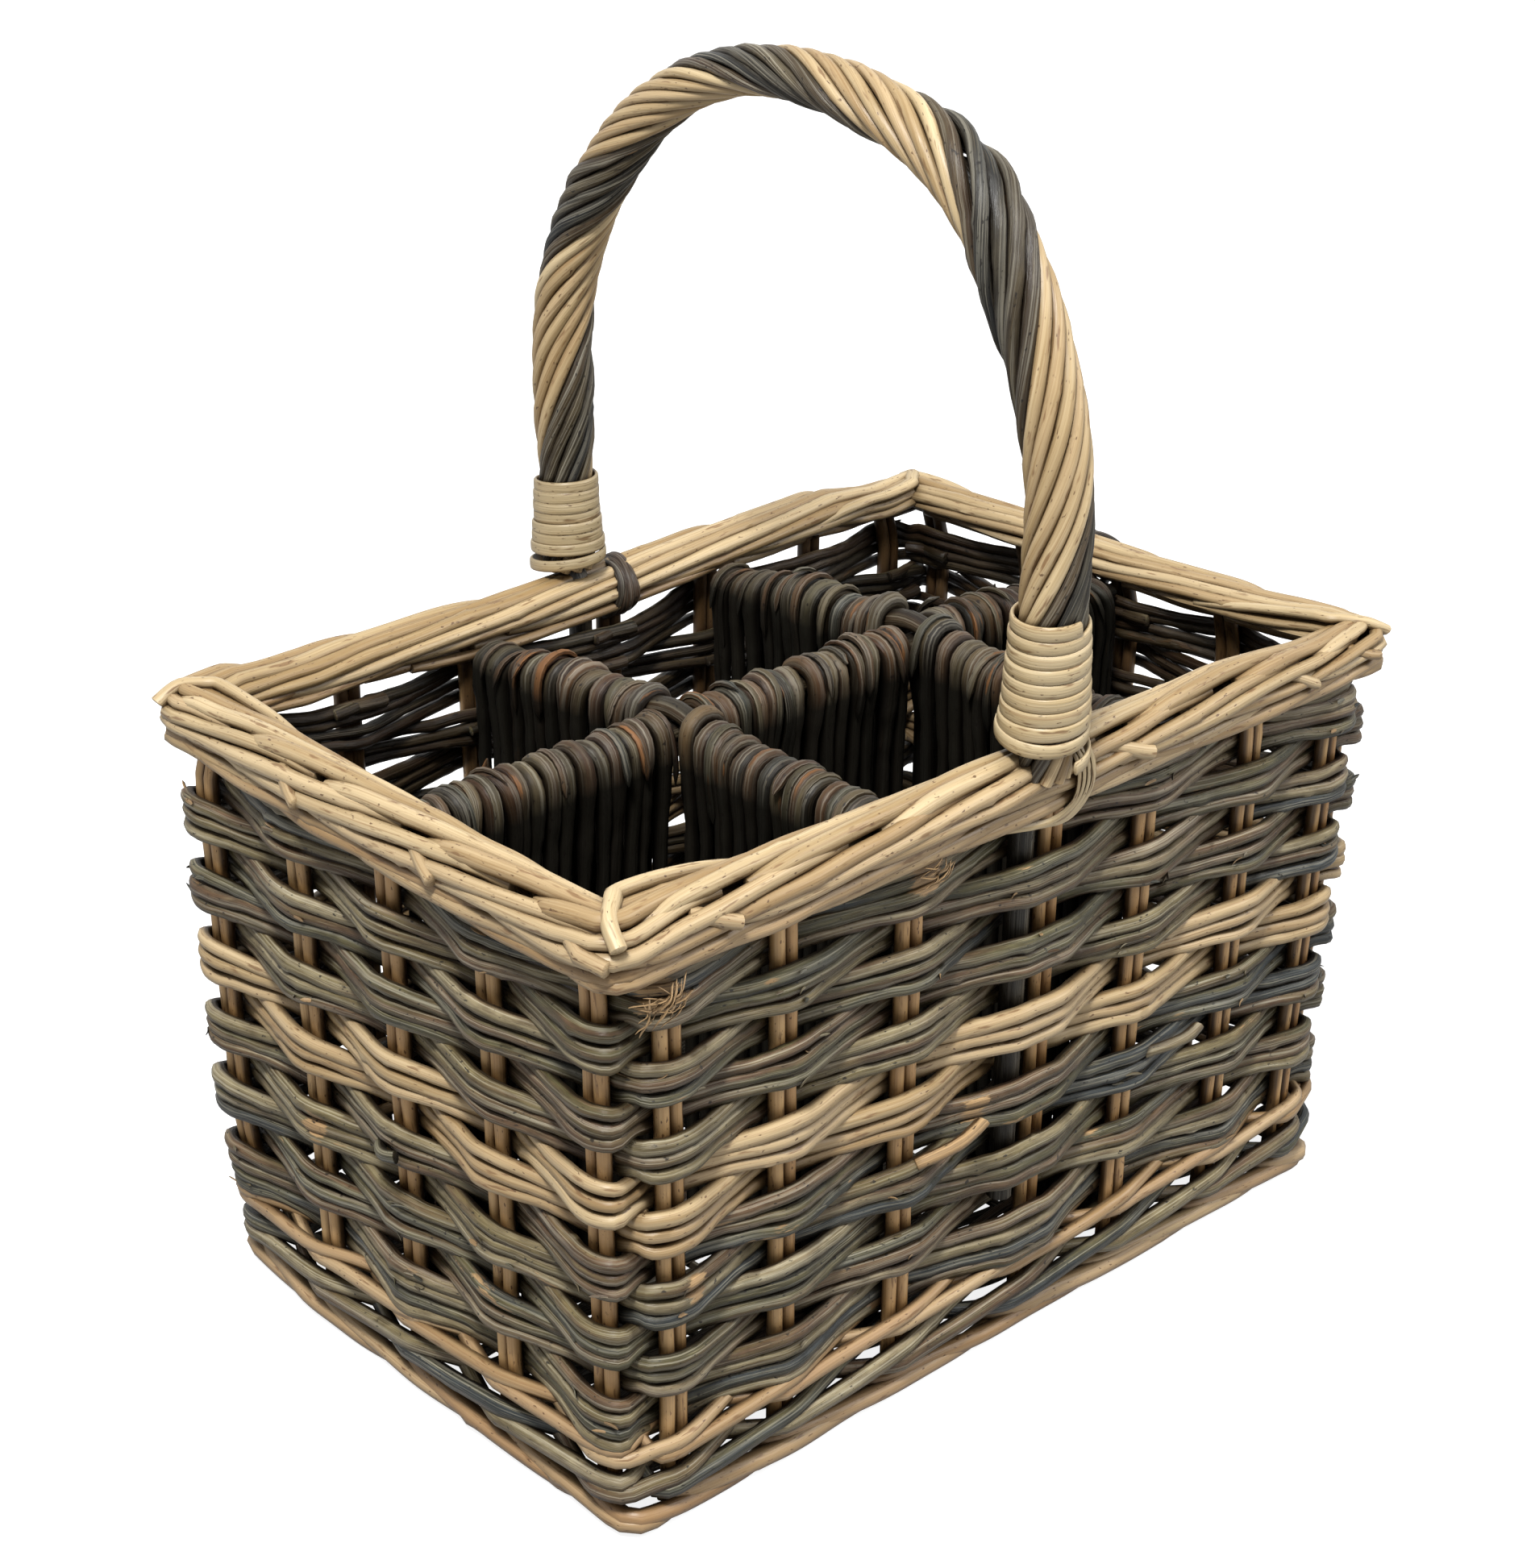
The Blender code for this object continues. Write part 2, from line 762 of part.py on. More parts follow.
def make_partitions(collection, cutter_collection):
    long_path = long_rail_path()
    round_rod("rail_lengthwise", long_path, rail_radius, rail_resolution, BROWN, collection)
    bore = rail_radius + rail_clearance
    over = Vector((cutter_overrun, 0.0, 0.0))
    long_cutter_path = [long_path[0] - over, long_path[1] + over]
    cutter = round_rod("lengthwise_bore", long_cutter_path, bore, rail_resolution, None, cutter_collection)
    long_cutter = as_cutter(mesh_of(cutter))

    def long_ends(height):
        reach = inner_face(wall_half_length(min(height, border_base)))
        if height > border_base - rim_sag - seat_gap:
            reach = min(reach, rail_end(wall_half_length(border_base)))
        return -reach, reach

    mesh = partition_mesh("partition_lengthwise", long_ends, (0.0, 1.0), lambda run: 0.0)
    panel = add_object("partition_lengthwise", mesh, BROWN, collection)
    notches = []
    for side, label in ((-1, "left"), (1, "right")):
        place = side * cross_rail_place
        path = cross_rail_path(place)
        name = "rail_cross_" + label
        round_rod(name, path, rail_radius, rail_resolution, BROWN, collection)
        ends = [path[0] - Vector((0.0, cutter_overrun, 0.0))] + path
        ends += [path[-1] + Vector((0.0, cutter_overrun, 0.0))]
        bore_rod = round_rod("bore_cross_" + label, ends, bore, rail_resolution, None, cutter_collection)
        cross_cutter = as_cutter(mesh_of(bore_rod))
        bpy.ops.mesh.primitive_cube_add(size=1.0)
        notch = bpy.context.object
        notch.name = "notch_" + label
        for before in list(notch.users_collection):
            before.objects.unlink(notch)
        cutter_collection.objects.link(notch)
        half = rail_radius + rail_crossing_margin
        low = rail_height - rail_radius - rail_crossing_margin
        tall = 2 * partition_ridge()
        notch.dimensions = (2 * half, 3 * partition_ridge(), tall)
        notch.location = (place, 0.0, low + tall / 2)
        notches.append(as_cutter(notch))
        for facing, row in ((-1, "front"), (1, "back")):

            def cross_ends(height):
                reach = inner_face(wall_half_width(min(height, border_base)))
                if height > border_base - rim_sag - seat_gap:
                    reach = min(reach, rail_end(wall_half_width(border_base)))
                return partition_half(height) + seat_gap, reach

            panel_name = "partition_%s_%s" % (label, row)
            cross_mesh = partition_mesh(panel_name, cross_ends, partition_hump_shares, rail_hump)
            cross = add_object(panel_name, cross_mesh, BROWN, collection)
            cross.location = (place, 0.0, 0.0)
            cross.rotation_euler = (0.0, 0.0, facing * math.pi / 2)
            cut(cross, [cross_cutter])
    cut(panel, [long_cutter] + notches)


def make_lashing(collection):
    """Cane from the near binding, down the outside of the top border and under it."""
    outer = wall_half_width(border_base + border_height / 2) + border_overhang + border_width / 2
    gap = lashing_radius + seat_gap
    low = border_base - gap
    top = border_base + border_height / 2 - seat_gap
    side = -(outer + gap)
    inward = border_bevel
    path = [
        (lashing_start, side, top),
        (lashing_start, side, low + border_bevel),
        (lashing_start - lashing_drop, side + inward / 3, low + border_bevel / 3),
        (lashing_start - 2 * lashing_drop, side + inward, low),
        (-lashing_reach, side + inward, low),
    ]
    round_rod("near_lashing", path, lashing_radius, cane_resolution, CANE, collection)


def make_tie(name, place, turn, collection):
    """A dark rod taken round the top border: a flat ring square to the border."""
    half_wide = border_width / 2 + seat_gap + tie_thickness / 2
    half_high = border_height / 2 + seat_gap + tie_thickness / 2
    round_off = border_bevel
    line = []
    for sx, sy, quarter in ((1, 1, 0), (-1, 1, 1), (-1, -1, 2), (1, -1, 3)):
        for step in range(3):
            angle = math.radians(90 * quarter + 45 * step)
            x = sx * (half_wide - round_off) + round_off * math.cos(angle)
            y = sy * (half_high - round_off) + round_off * math.sin(angle)
            line.append(Vector((x, y)))
    tie = ring_wall(name, (line, line), -tie_width / 2, tie_width / 2, tie_thickness, DARK, collection)
    tie.location = place
    tie.rotation_euler = turn


def make_ties(collection):
    middle = border_base + border_height / 2
    quarter = math.pi / 2
    far = wall_half_width(middle) + border_overhang
    place = (far_tie_place, far, settled_height(far_tie_place, far, middle))
    make_tie("far_border_tie", place, (quarter, 0.0, quarter), collection)
    end = wall_half_length(middle) + border_overhang
    beside = partition_ridge() + seat_gap + tie_width / 2
    place = (end, beside, settled_height(end, beside, middle))
    make_tie("end_border_tie", place, (quarter, 0.0, 0.0), collection)


def shade_round_pieces(collection):
    for obj in collection.objects:
        if obj.type == "MESH":
            obj.data.shade_smooth()
            obj.data.set_sharp_from_angle(angle=math.radians(40))


def build():
    clear_scene()
    parts = new_collection("wine_bottle_basket")
    cutters = new_collection("cutters")
    make_stakes(parts)
    make_weave(parts)
    make_foot_and_base(parts)
    seats = []
    for side, label in ((-1, "near"), (1, "far")):
        seats.append(foot_pocket("pocket_" + label, side, cutters))
        seats.append(stick_cutter("stick_way_" + label, side, cutters))
    make_border(parts, seats)
    make_partitions(parts, cutters)
    make_handle(parts)
    make_lashing(parts)
    make_ties(parts)
    shade_round_pieces(parts)


build()
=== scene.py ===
"""Looks for the willow bottle basket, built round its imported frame. Lengths in metres."""
import math

import bpy
import numpy as np
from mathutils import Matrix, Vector


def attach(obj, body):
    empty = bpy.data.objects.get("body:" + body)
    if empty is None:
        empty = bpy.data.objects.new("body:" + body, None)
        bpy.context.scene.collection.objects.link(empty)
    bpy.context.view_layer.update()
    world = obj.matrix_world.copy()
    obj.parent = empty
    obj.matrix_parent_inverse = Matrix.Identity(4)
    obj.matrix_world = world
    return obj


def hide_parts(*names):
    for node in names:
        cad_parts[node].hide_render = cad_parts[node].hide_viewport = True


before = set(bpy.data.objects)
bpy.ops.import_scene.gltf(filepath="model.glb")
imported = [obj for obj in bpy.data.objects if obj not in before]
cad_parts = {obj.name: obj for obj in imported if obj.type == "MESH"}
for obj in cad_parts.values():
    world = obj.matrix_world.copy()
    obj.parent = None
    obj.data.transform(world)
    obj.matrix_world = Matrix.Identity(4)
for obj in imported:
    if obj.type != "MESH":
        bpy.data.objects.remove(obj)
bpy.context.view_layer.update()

# The basket's sizes, as the CAD has them.
basket_height = 0.224
border_height = 0.0217
line_half_length = 0.1725
line_half_width = 0.108
end_lean = 0.0367
side_lean = 0.0136
line_height = 0.2
corner_half_length = 0.1544
corner_half_width = 0.0973
side_shares = (0.355, 0.698, 1.0)
end_shares = (0.497, 1.0)
stake_radius = 0.0026
stake_foot = 0.0093
stake_top = 0.209
band_count = 12
band_pitch = 0.0132
top_band_height = 0.1895
band_offset = 0.0053
flat_half = 0.0036
outer_flat_half = 0.0095
inner_flat_half = 0.0042
handle_place = -0.005
handle_stake_place = 0.008
stick_radius = 0.0043
stick_foot = 0.056
border_middle = 0.2132
border_overhang = 0.002
rail_height = 0.2045
rail_radius = 0.0035
cross_place = 0.055
base_top = 0.0153
handle_half_span = 0.1165
handle_foot_half_span = 0.114
handle_foot_height = 0.2145
handle_shoulder = 0.295
handle_crown_shift = -0.0035
mm = 0.001

side_count = 2 * len(side_shares) + 1
end_count = 2 * len(end_shares) + 1
stake_count = 2 * (side_count + end_count)
handle_spots = (len(side_shares), side_count + end_count + len(side_shares))
first_of_wall = (0, side_count, side_count + end_count, 2 * side_count + end_count)
last_of_wall = tuple((index - 1) % stake_count for index in first_of_wall)


def half_length(height):
    return line_half_length - end_lean * (line_height - height)


def half_width(height):
    return line_half_width - side_lean * (line_height - height)


def stake_spots(height):
    """Point, direction along and direction outwards for each stake, anticlockwise from the front left."""
    far = half_length(height)
    wide = half_width(height)
    side = [share * corner_half_length * far / line_half_length for share in side_shares]
    end = [share * corner_half_width * wide / line_half_width for share in end_shares]
    xs = [-x for x in reversed(side)] + [0.0] + side
    ys = [-y for y in reversed(end)] + [0.0] + end
    spots = [((x, -wide), (1, 0), (0, -1)) for x in xs]
    spots += [((far, y), (0, 1), (1, 0)) for y in ys]
    spots += [((-x, wide), (-1, 0), (0, 1)) for x in xs]
    spots += [((-far, -y), (0, -1), (-1, 0)) for y in ys]
    return [tuple(np.array(part, float) for part in spot) for spot in spots]


def unit(vectors):
    length = np.linalg.norm(vectors, axis=-1, keepdims=True)
    return vectors / np.maximum(length, 1e-9)


def run_lengths(path):
    steps = np.linalg.norm(np.diff(path, axis=0), axis=1)
    return np.concatenate([[0.0], np.cumsum(steps)])


def spaced(path, step, *extras):
    """The path at even spacing, with its side values taken along."""
    runs = run_lengths(path)
    count = max(2, int(round(runs[-1] / step)) + 1)
    at = np.linspace(0.0, runs[-1], count)
    columns = [np.interp(at, runs, path[:, k]) for k in range(path.shape[1])]
    return (np.stack(columns, 1),) + tuple(np.interp(at, runs, extra) for extra in extras)


def rounded(points, times=2, share=0.25, closed=False):
    """Corner cutting: each round takes a share off both ends of every step."""
    path = np.array(points, float)
    for _ in range(times):
        after = np.roll(path, -1, axis=0) if closed else path[1:]
        start = path if closed else path[:-1]
        near = start + (after - start) * share
        far = after - (after - start) * share
        cut = np.empty((2 * len(near), path.shape[1]))
        cut[0::2] = near
        cut[1::2] = far
        path = cut if closed else np.vstack([path[:1], cut, path[-1:]])
    return path


def kneed(points, reach, share=0.3):
    """A closed line whose corners are cut at a set reach from them."""
    made = []
    count = len(points)
    for k in range(count):
        here = points[k]
        for other in (points[k - 1], points[(k + 1) % count]):
            gap = np.linalg.norm((other - here)[:2])
            made.append(here + (other - here) * min(share, reach / max(gap, 1e-6)))
    return np.array(made)


def wander(rng, runs, size, shortest=0.03, longest=0.12, waves=4):
    """A smooth random line along a rod, of about the given size."""
    value = np.zeros_like(runs)
    for _ in range(waves):
        length = rng.uniform(shortest, longest)
        value += np.sin(2 * math.pi * runs / length + rng.uniform(0, 2 * math.pi))
    return value * size / math.sqrt(waves)


def smooth(value, low, high):
    share = np.clip((value - low) / (high - low), 0.0, 1.0)
    return share * share * (3 - 2 * share)


# How far the rim lies below its nominal height along the back wall and along the right end.
back_sag_places = (-0.155, -0.124, -0.03, 0.11, 0.172)
back_sag = (0.0, 0.004, 0.0075, 0.0075, 0.0095)
end_sag_places = (-0.097, -0.06, 0.0, 0.108)
end_sag = (0.0015, 0.005, 0.008, 0.0095)
sag_foot = 0.0093
sag_full = 0.2023
end_pull = 0.0045
foot_pull = 0.0028
rim_pull = 0.0052
border_foot = 0.204
back_flattening = 0.17
end_flattening = 0.32
corner_pull = 0.0042


def settled(points):
    """The walls as they stand in the photograph: lower at the back and drawn in at the right end."""
    moved = points.copy()
    x, y, z = points[:, 0], points[:, 1], points[:, 2]
    back = smooth(y, 0.045, 0.092)
    end = smooth(x, 0.08, 0.155)
    drop = np.maximum(back * np.interp(x, back_sag_places, back_sag), end * np.interp(y, end_sag_places, end_sag))
    moved[:, 2] = z - drop * np.clip((z - sag_foot) / (sag_full - sag_foot), 0.0, 1.0)
    over = np.maximum(z - border_foot, 0.0)
    moved[:, 2] -= over * np.maximum(back_flattening * back, end_flattening * end)
    rim = smooth(z, 0.188, 0.212)
    right = end_pull + foot_pull * (1 - smooth(z, 0.03, 0.13)) + rim_pull * rim
    moved[:, 0] = x - right * smooth(x, 0.1, 0.172)
    moved[:, 0] += corner_pull * rim * smooth(-x, 0.14, 0.178) * smooth(y, 0.02, 0.1)
    front = smooth(-y, 0.07, 0.108)
    moved[:, 1] = y + corner_pull * rim * front * (smooth(x, 0.07, 0.172) + 0.6 * smooth(-x, 0.08, 0.172))
    moved[:, 1] -= 0.8 * corner_pull * rim * smooth(-x, 0.1, 0.175) * smooth(y, 0.06, 0.11)
    foot = (1 - smooth(z, 0.01, 0.07)) * smooth(-x, 0.1, 0.162) * smooth(y, 0.05, 0.1)
    moved[:, 0] += corner_pull * foot
    moved[:, 1] -= corner_pull * foot
    return moved


class Rods:
    """Gathers rods that are swept along paths and makes them into one piece."""

    def __init__(self, seed):
        self.rng = np.random.default_rng(seed)
        self.points = []
        self.faces = []
        self.along = []
        self.look = []
        self.count = 0

    def add(self, path, radius, up, sides=8, wide=1.0, tall=1.0, tint=None, warm=0.0, peel=0.0,
            knots=0.0, square=0.0, slant=0.0, tips=(1.0, 1.0), rough=0.0):
        """One rod. Its section is wide across up and tall along up; tips narrow its two ends."""
        rng = self.rng
        path = np.asarray(path, float)
        count = len(path)
        runs = run_lengths(path)
        radii = np.broadcast_to(np.asarray(radius, float), (count,)).copy()
        along = unit(np.gradient(path, axis=0))
        lift = np.broadcast_to(np.asarray(up, float), (count, 3))
        across = unit(np.cross(along, lift))
        lift = np.cross(across, along)
        angle = np.arange(sides) * 2 * math.pi / sides
        reach = np.ones((count, sides))
        if knots:
            place = rng.uniform(0.3, 1.0) * knots
            while place < runs[-1]:
                side = rng.uniform(0, 2 * math.pi)
                size = rng.uniform(0.08, 0.3)
                near = np.exp(-(((runs - place) / 0.0022) ** 2))[:, None]
                facing = (angle[None, :] - side + math.pi) % (2 * math.pi) - math.pi
                reach += size * near * np.exp(-((facing / 0.7) ** 2))
                place += rng.uniform(0.5, 1.5) * knots
        if rough:
            for lobe in range(1, 4):
                drift = wander(rng, runs, 2.0, 0.012, 0.05)
                grow = wander(rng, runs, 0.7, 0.008, 0.04)
                reach += (rough / lobe) * np.cos(lobe * angle[None, :] + drift[:, None]) * grow[:, None]
        if square:
            bulge = (np.abs(np.cos(angle)) ** 4 + np.abs(np.sin(angle)) ** 4) ** -0.25
            reach *= 1 + square * (bulge - 1)[None, :]
        ends = np.ones(count)
        ends[0] *= tips[0]
        ends[-1] *= tips[1]
        size = (radii * ends)[:, None] * reach
        ring = across[:, None, :] * (size * np.cos(angle) * wide)[:, :, None]
        ring = ring + lift[:, None, :] * (size * np.sin(angle) * tall)[:, :, None]
        body = path[:, None, :] + ring
        if slant:
            body[-1] += along[-1][None, :] * (slant * radii[-1] * np.cos(angle))[:, None]
        rims = [body[0] + (path[0] - body[0]) * 0.2 - along[0] * radii[0] * 0.14]
        rims.append(body[-1] + (body[-1].mean(0) - body[-1]) * 0.2 + along[-1] * radii[-1] * 0.14)
        first = self.count
        block = np.vstack([rims[0], body.reshape(-1, 3), rims[1], rims[0].mean(0)[None], rims[1].mean(0)[None]])
        self.points.append(block)
        rings = count + 2
        index = first + np.arange(rings * sides).reshape(rings, sides)
        following = np.roll(index, -1, axis=1)
        quads = np.stack([index[:-1], following[:-1], following[1:], index[1:]], -1).reshape(-1, 4)
        self.faces.extend(quads.tolist())
        low = first + rings * sides
        high = low + 1
        for k in range(sides):
            after = (k + 1) % sides
            self.faces.append([int(index[0, after]), int(index[0, k]), low])
            self.faces.append([int(index[-1, k]), int(index[-1, after]), high])
        start = rng.uniform(0, 30.0)
        run = np.concatenate([[runs[0]], runs, [runs[-1]]])
        co = np.empty((rings * sides + 2, 3))
        co[:-2, 0] = np.tile(np.cos(angle) * radii.mean() * wide, rings)
        co[:-2, 1] = np.tile(np.sin(angle) * radii.mean() * tall, rings)
        co[:-2, 2] = np.repeat(run, sides) + start
        co[-2] = (0.0, 0.0, start)
        co[-1] = (0.0, 0.0, start + runs[-1])
        self.along.append(co)
        shade = rng.uniform(0, 1) if tint is None else tint
        look = np.empty((len(co), 3))
        look[:] = (shade, warm, peel)
        self.look.append(look)
        self.count += len(block)

    def make(self, name, material, nodes, settle=True):
        points = np.vstack(self.points)
        if settle:
            points = settled(points)
        mesh = bpy.data.meshes.new(name)
        mesh.from_pydata(points.tolist(), [], self.faces)
        for key, rows in (("rod_co", self.along), ("rod_look", self.look)):
            data = mesh.attributes.new(key, "FLOAT_VECTOR", "POINT")
            data.data.foreach_set("vector", np.vstack(rows).astype(np.float32).ravel())
        mesh.shade_smooth()
        mesh.set_sharp_from_angle(angle=math.radians(52))
        piece = bpy.data.objects.new(name, mesh)
        bpy.context.scene.collection.objects.link(piece)
        mesh.materials.append(material)
        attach(piece, "root")
        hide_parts(*nodes)
        return piece


class Nodes:
    """Short words for building a node material."""

    def __init__(self, name):
        self.material = bpy.data.materials.new(name)
        self.material.use_nodes = True
        self.tree = self.material.node_tree
        self.shader = self.tree.nodes["Principled BSDF"]

    def put(self, socket, value):
        if isinstance(value, bpy.types.NodeSocket):
            self.tree.links.new(value, socket)
        elif hasattr(value, "__len__") and len(value) == 3 and len(socket.default_value) == 4:
            socket.default_value = (*value, 1.0)
        else:
            socket.default_value = value

    def add(self, kind, inputs=(), out=0, **settings):
        made = self.tree.nodes.new("ShaderNode" + kind)
        for key, value in settings.items():
            setattr(made, key, value)
        for key, value in dict(inputs).items():
            self.put(made.inputs[key], value)
        return made.outputs[out]

    def math(self, operation, a, b=0.0, clamp=False):
        return self.add("Math", {0: a, 1: b}, operation=operation, use_clamp=clamp)

    def noise(self, place, scale, detail=3.0, rough=0.55):
        """Noise on the rod's own lengths: across it in both directions, and along it."""
        spot = self.add("VectorMath", {0: place, 1: scale}, operation="MULTIPLY")
        return self.add("TexNoise", {"Vector": spot, "Scale": 1.0, "Detail": detail, "Roughness": rough})

    def band(self, value, low, high, to_low=0.0, to_high=1.0):
        return self.add("MapRange", {"Value": value, "From Min": low, "From Max": high,
                                     "To Min": to_low, "To Max": to_high}, clamp=True)

    def mix(self, share, a, b, blend="MIX"):
        made = self.tree.nodes.new("ShaderNodeMix")
        made.data_type = "RGBA"
        made.blend_type = blend
        self.put(made.inputs[0], share)
        self.put(made.inputs[6], a)
        self.put(made.inputs[7], b)
        return made.outputs[2]

    def bump(self, height, strength, distance, normal=None):
        inputs = {"Height": height, "Strength": strength, "Distance": distance}
        if normal is not None:
            inputs["Normal"] = normal
        return self.add("Bump", inputs)

    def rod(self):
        """What each rod carries: its own lengths, its tint, its warmth and its peeling."""
        place = self.add("Attribute", attribute_name="rod_co", out=1)
        look = self.add("Attribute", attribute_name="rod_look", out=1)
        parts = self.tree.nodes.new("ShaderNodeSeparateXYZ")
        self.tree.links.new(look, parts.inputs[0])
        return place, parts.outputs[0], parts.outputs[1], parts.outputs[2]


def painted_crevice_shade(n, colour, crevice_shade_depth, floor):
    """Painted shade: darker where rods lie close together and shade falls between them."""
    near = n.add("AmbientOcclusion", {"Distance": 0.007}, out=1, samples=5)
    return n.mix(n.band(near, floor, 0.95, crevice_shade_depth, 0.0), colour, n.mix(1.0, colour, (0.22, 0.165, 0.11), "MULTIPLY"))


def painted_inside_shade(n, colour, share):
    """Painted shade: darker on the basket's inside, below its border, where the rods face its middle and little light
    reaches.
    """
    around = n.tree.nodes.new("ShaderNodeNewGeometry")
    flat = n.add("VectorMath", {0: around.outputs["Position"], 1: (1.0, 1.0, 0.0)}, operation="MULTIPLY")
    facing = n.add("VectorMath", {0: n.add("VectorMath", {0: flat}, operation="NORMALIZE"),
                                  1: around.outputs["Normal"]}, out=1, operation="DOT_PRODUCT")
    parts = n.tree.nodes.new("ShaderNodeSeparateXYZ")
    n.tree.links.new(around.outputs["Position"], parts.inputs[0])
    low = n.band(parts.outputs[2], 0.196, 0.208, 1.0, 0.0)
    inward = n.math("MULTIPLY", n.band(facing, -0.15, 0.35, share, 0.0), low)
    return n.mix(inward, colour, n.mix(1.0, colour, (0.12, 0.09, 0.065), "MULTIPLY"))


def painted_top_light(n, place, colour, low, high):
    """Painted light and shade: paler on the side of each rod that faces up or out, darker on its underside, as light
    from above falls on it.
    """
    parts = n.tree.nodes.new("ShaderNodeSeparateXYZ")
    n.tree.links.new(place, parts.inputs[0])
    crest = n.band(parts.outputs[1], -0.0022, 0.0022, low, high)
    grey = n.add("CombineColor", {0: crest, 1: crest, 2: crest})
    return n.mix(1.0, colour, grey, "MULTIPLY")


def buff_willow(name, pale, deep, warm_colour, gloss, crevice_shade_depth, inside_shade=0.6):
    """Peeled willow: pale gold, with fine grain along the rod, brown marks and darker lines."""
    n = Nodes(name)
    place, tint, warm, _ = n.rod()
    streak = n.noise(place, (1900.0, 1900.0, 26.0), 4.0)
    cloud = n.noise(place, (260.0, 260.0, 16.0), 3.0)
    tone = n.math("ADD", n.math("MULTIPLY", streak, 0.5), n.math("MULTIPLY", cloud, 0.5))
    tone = n.math("ADD", tone, n.band(tint, 0.0, 1.0, -0.16, 0.12))
    colour = n.mix(n.band(tone, 0.32, 0.66), deep, pale)
    colour = n.mix(n.math("MULTIPLY", warm, n.band(cloud, 0.25, 0.75, 0.55, 1.0)), colour, warm_colour)
    scar = n.noise(place, (560.0, 560.0, 90.0), 2.0)
    colour = n.mix(n.band(scar, 0.62, 0.7, 0.0, 0.75), colour, (0.17, 0.085, 0.032))
    speck = n.noise(place, (1000.0, 1000.0, 380.0), 1.5)
    colour = n.mix(n.band(speck, 0.67, 0.73, 0.0, 0.85), colour, (0.09, 0.04, 0.015))
    line = n.noise(place, (2300.0, 2300.0, 9.0), 2.0)
    colour = n.mix(n.band(line, 0.58, 0.7, 0.0, 0.5), colour, (0.26, 0.14, 0.055))
    # Painted light on each rod's upper or outer side, painted shade on its underside.
    colour = painted_top_light(n, place, colour, 0.66, 1.08)
    # Painted shade: the colour is darkened between close rods and on the basket's inside.
    n.put(n.shader.inputs["Base Color"], painted_crevice_shade(n, painted_inside_shade(n, colour, inside_shade), crevice_shade_depth, 0.2))
    n.put(n.shader.inputs["Roughness"], n.band(cloud, 0.2, 0.8, gloss - 0.07, gloss + 0.1))
    n.shader.inputs["Specular IOR Level"].default_value = 0.45
    fine = n.bump(streak, 0.45, 0.0004)
    n.put(n.shader.inputs["Normal"], n.bump(scar, 0.4, 0.0005, fine))
    return n.material


# Spots on the weave where the bark is torn open: x, y, z and reach.
torn_spots = ((-0.1636, -0.116, 0.1951, 0.012), (-0.054, -0.116, 0.1965, 0.011), (-0.024, -0.1148, 0.0985, 0.009),
              (-0.1765, 0.0416, 0.0839, 0.008), (-0.1461, -0.1145, 0.0874, 0.007), (0.085, -0.1145, 0.132, 0.007))


def torn_open(n, mottle):
    """How far the bark is torn open at the marked spots."""
    around = n.tree.nodes.new("ShaderNodeNewGeometry")
    share = 0.0
    for x, y, z, reach in torn_spots:
        far = n.add("VectorMath", {0: around.outputs["Position"], 1: (x, y, z)}, out=1, operation="DISTANCE")
        share = n.math("MAXIMUM", share, n.band(far, 0.3 * reach, reach, 1.0, 0.0))
    return n.band(n.math("ADD", share, n.band(mottle, 0.3, 0.7, -0.35, 0.35)), 0.4, 0.6)


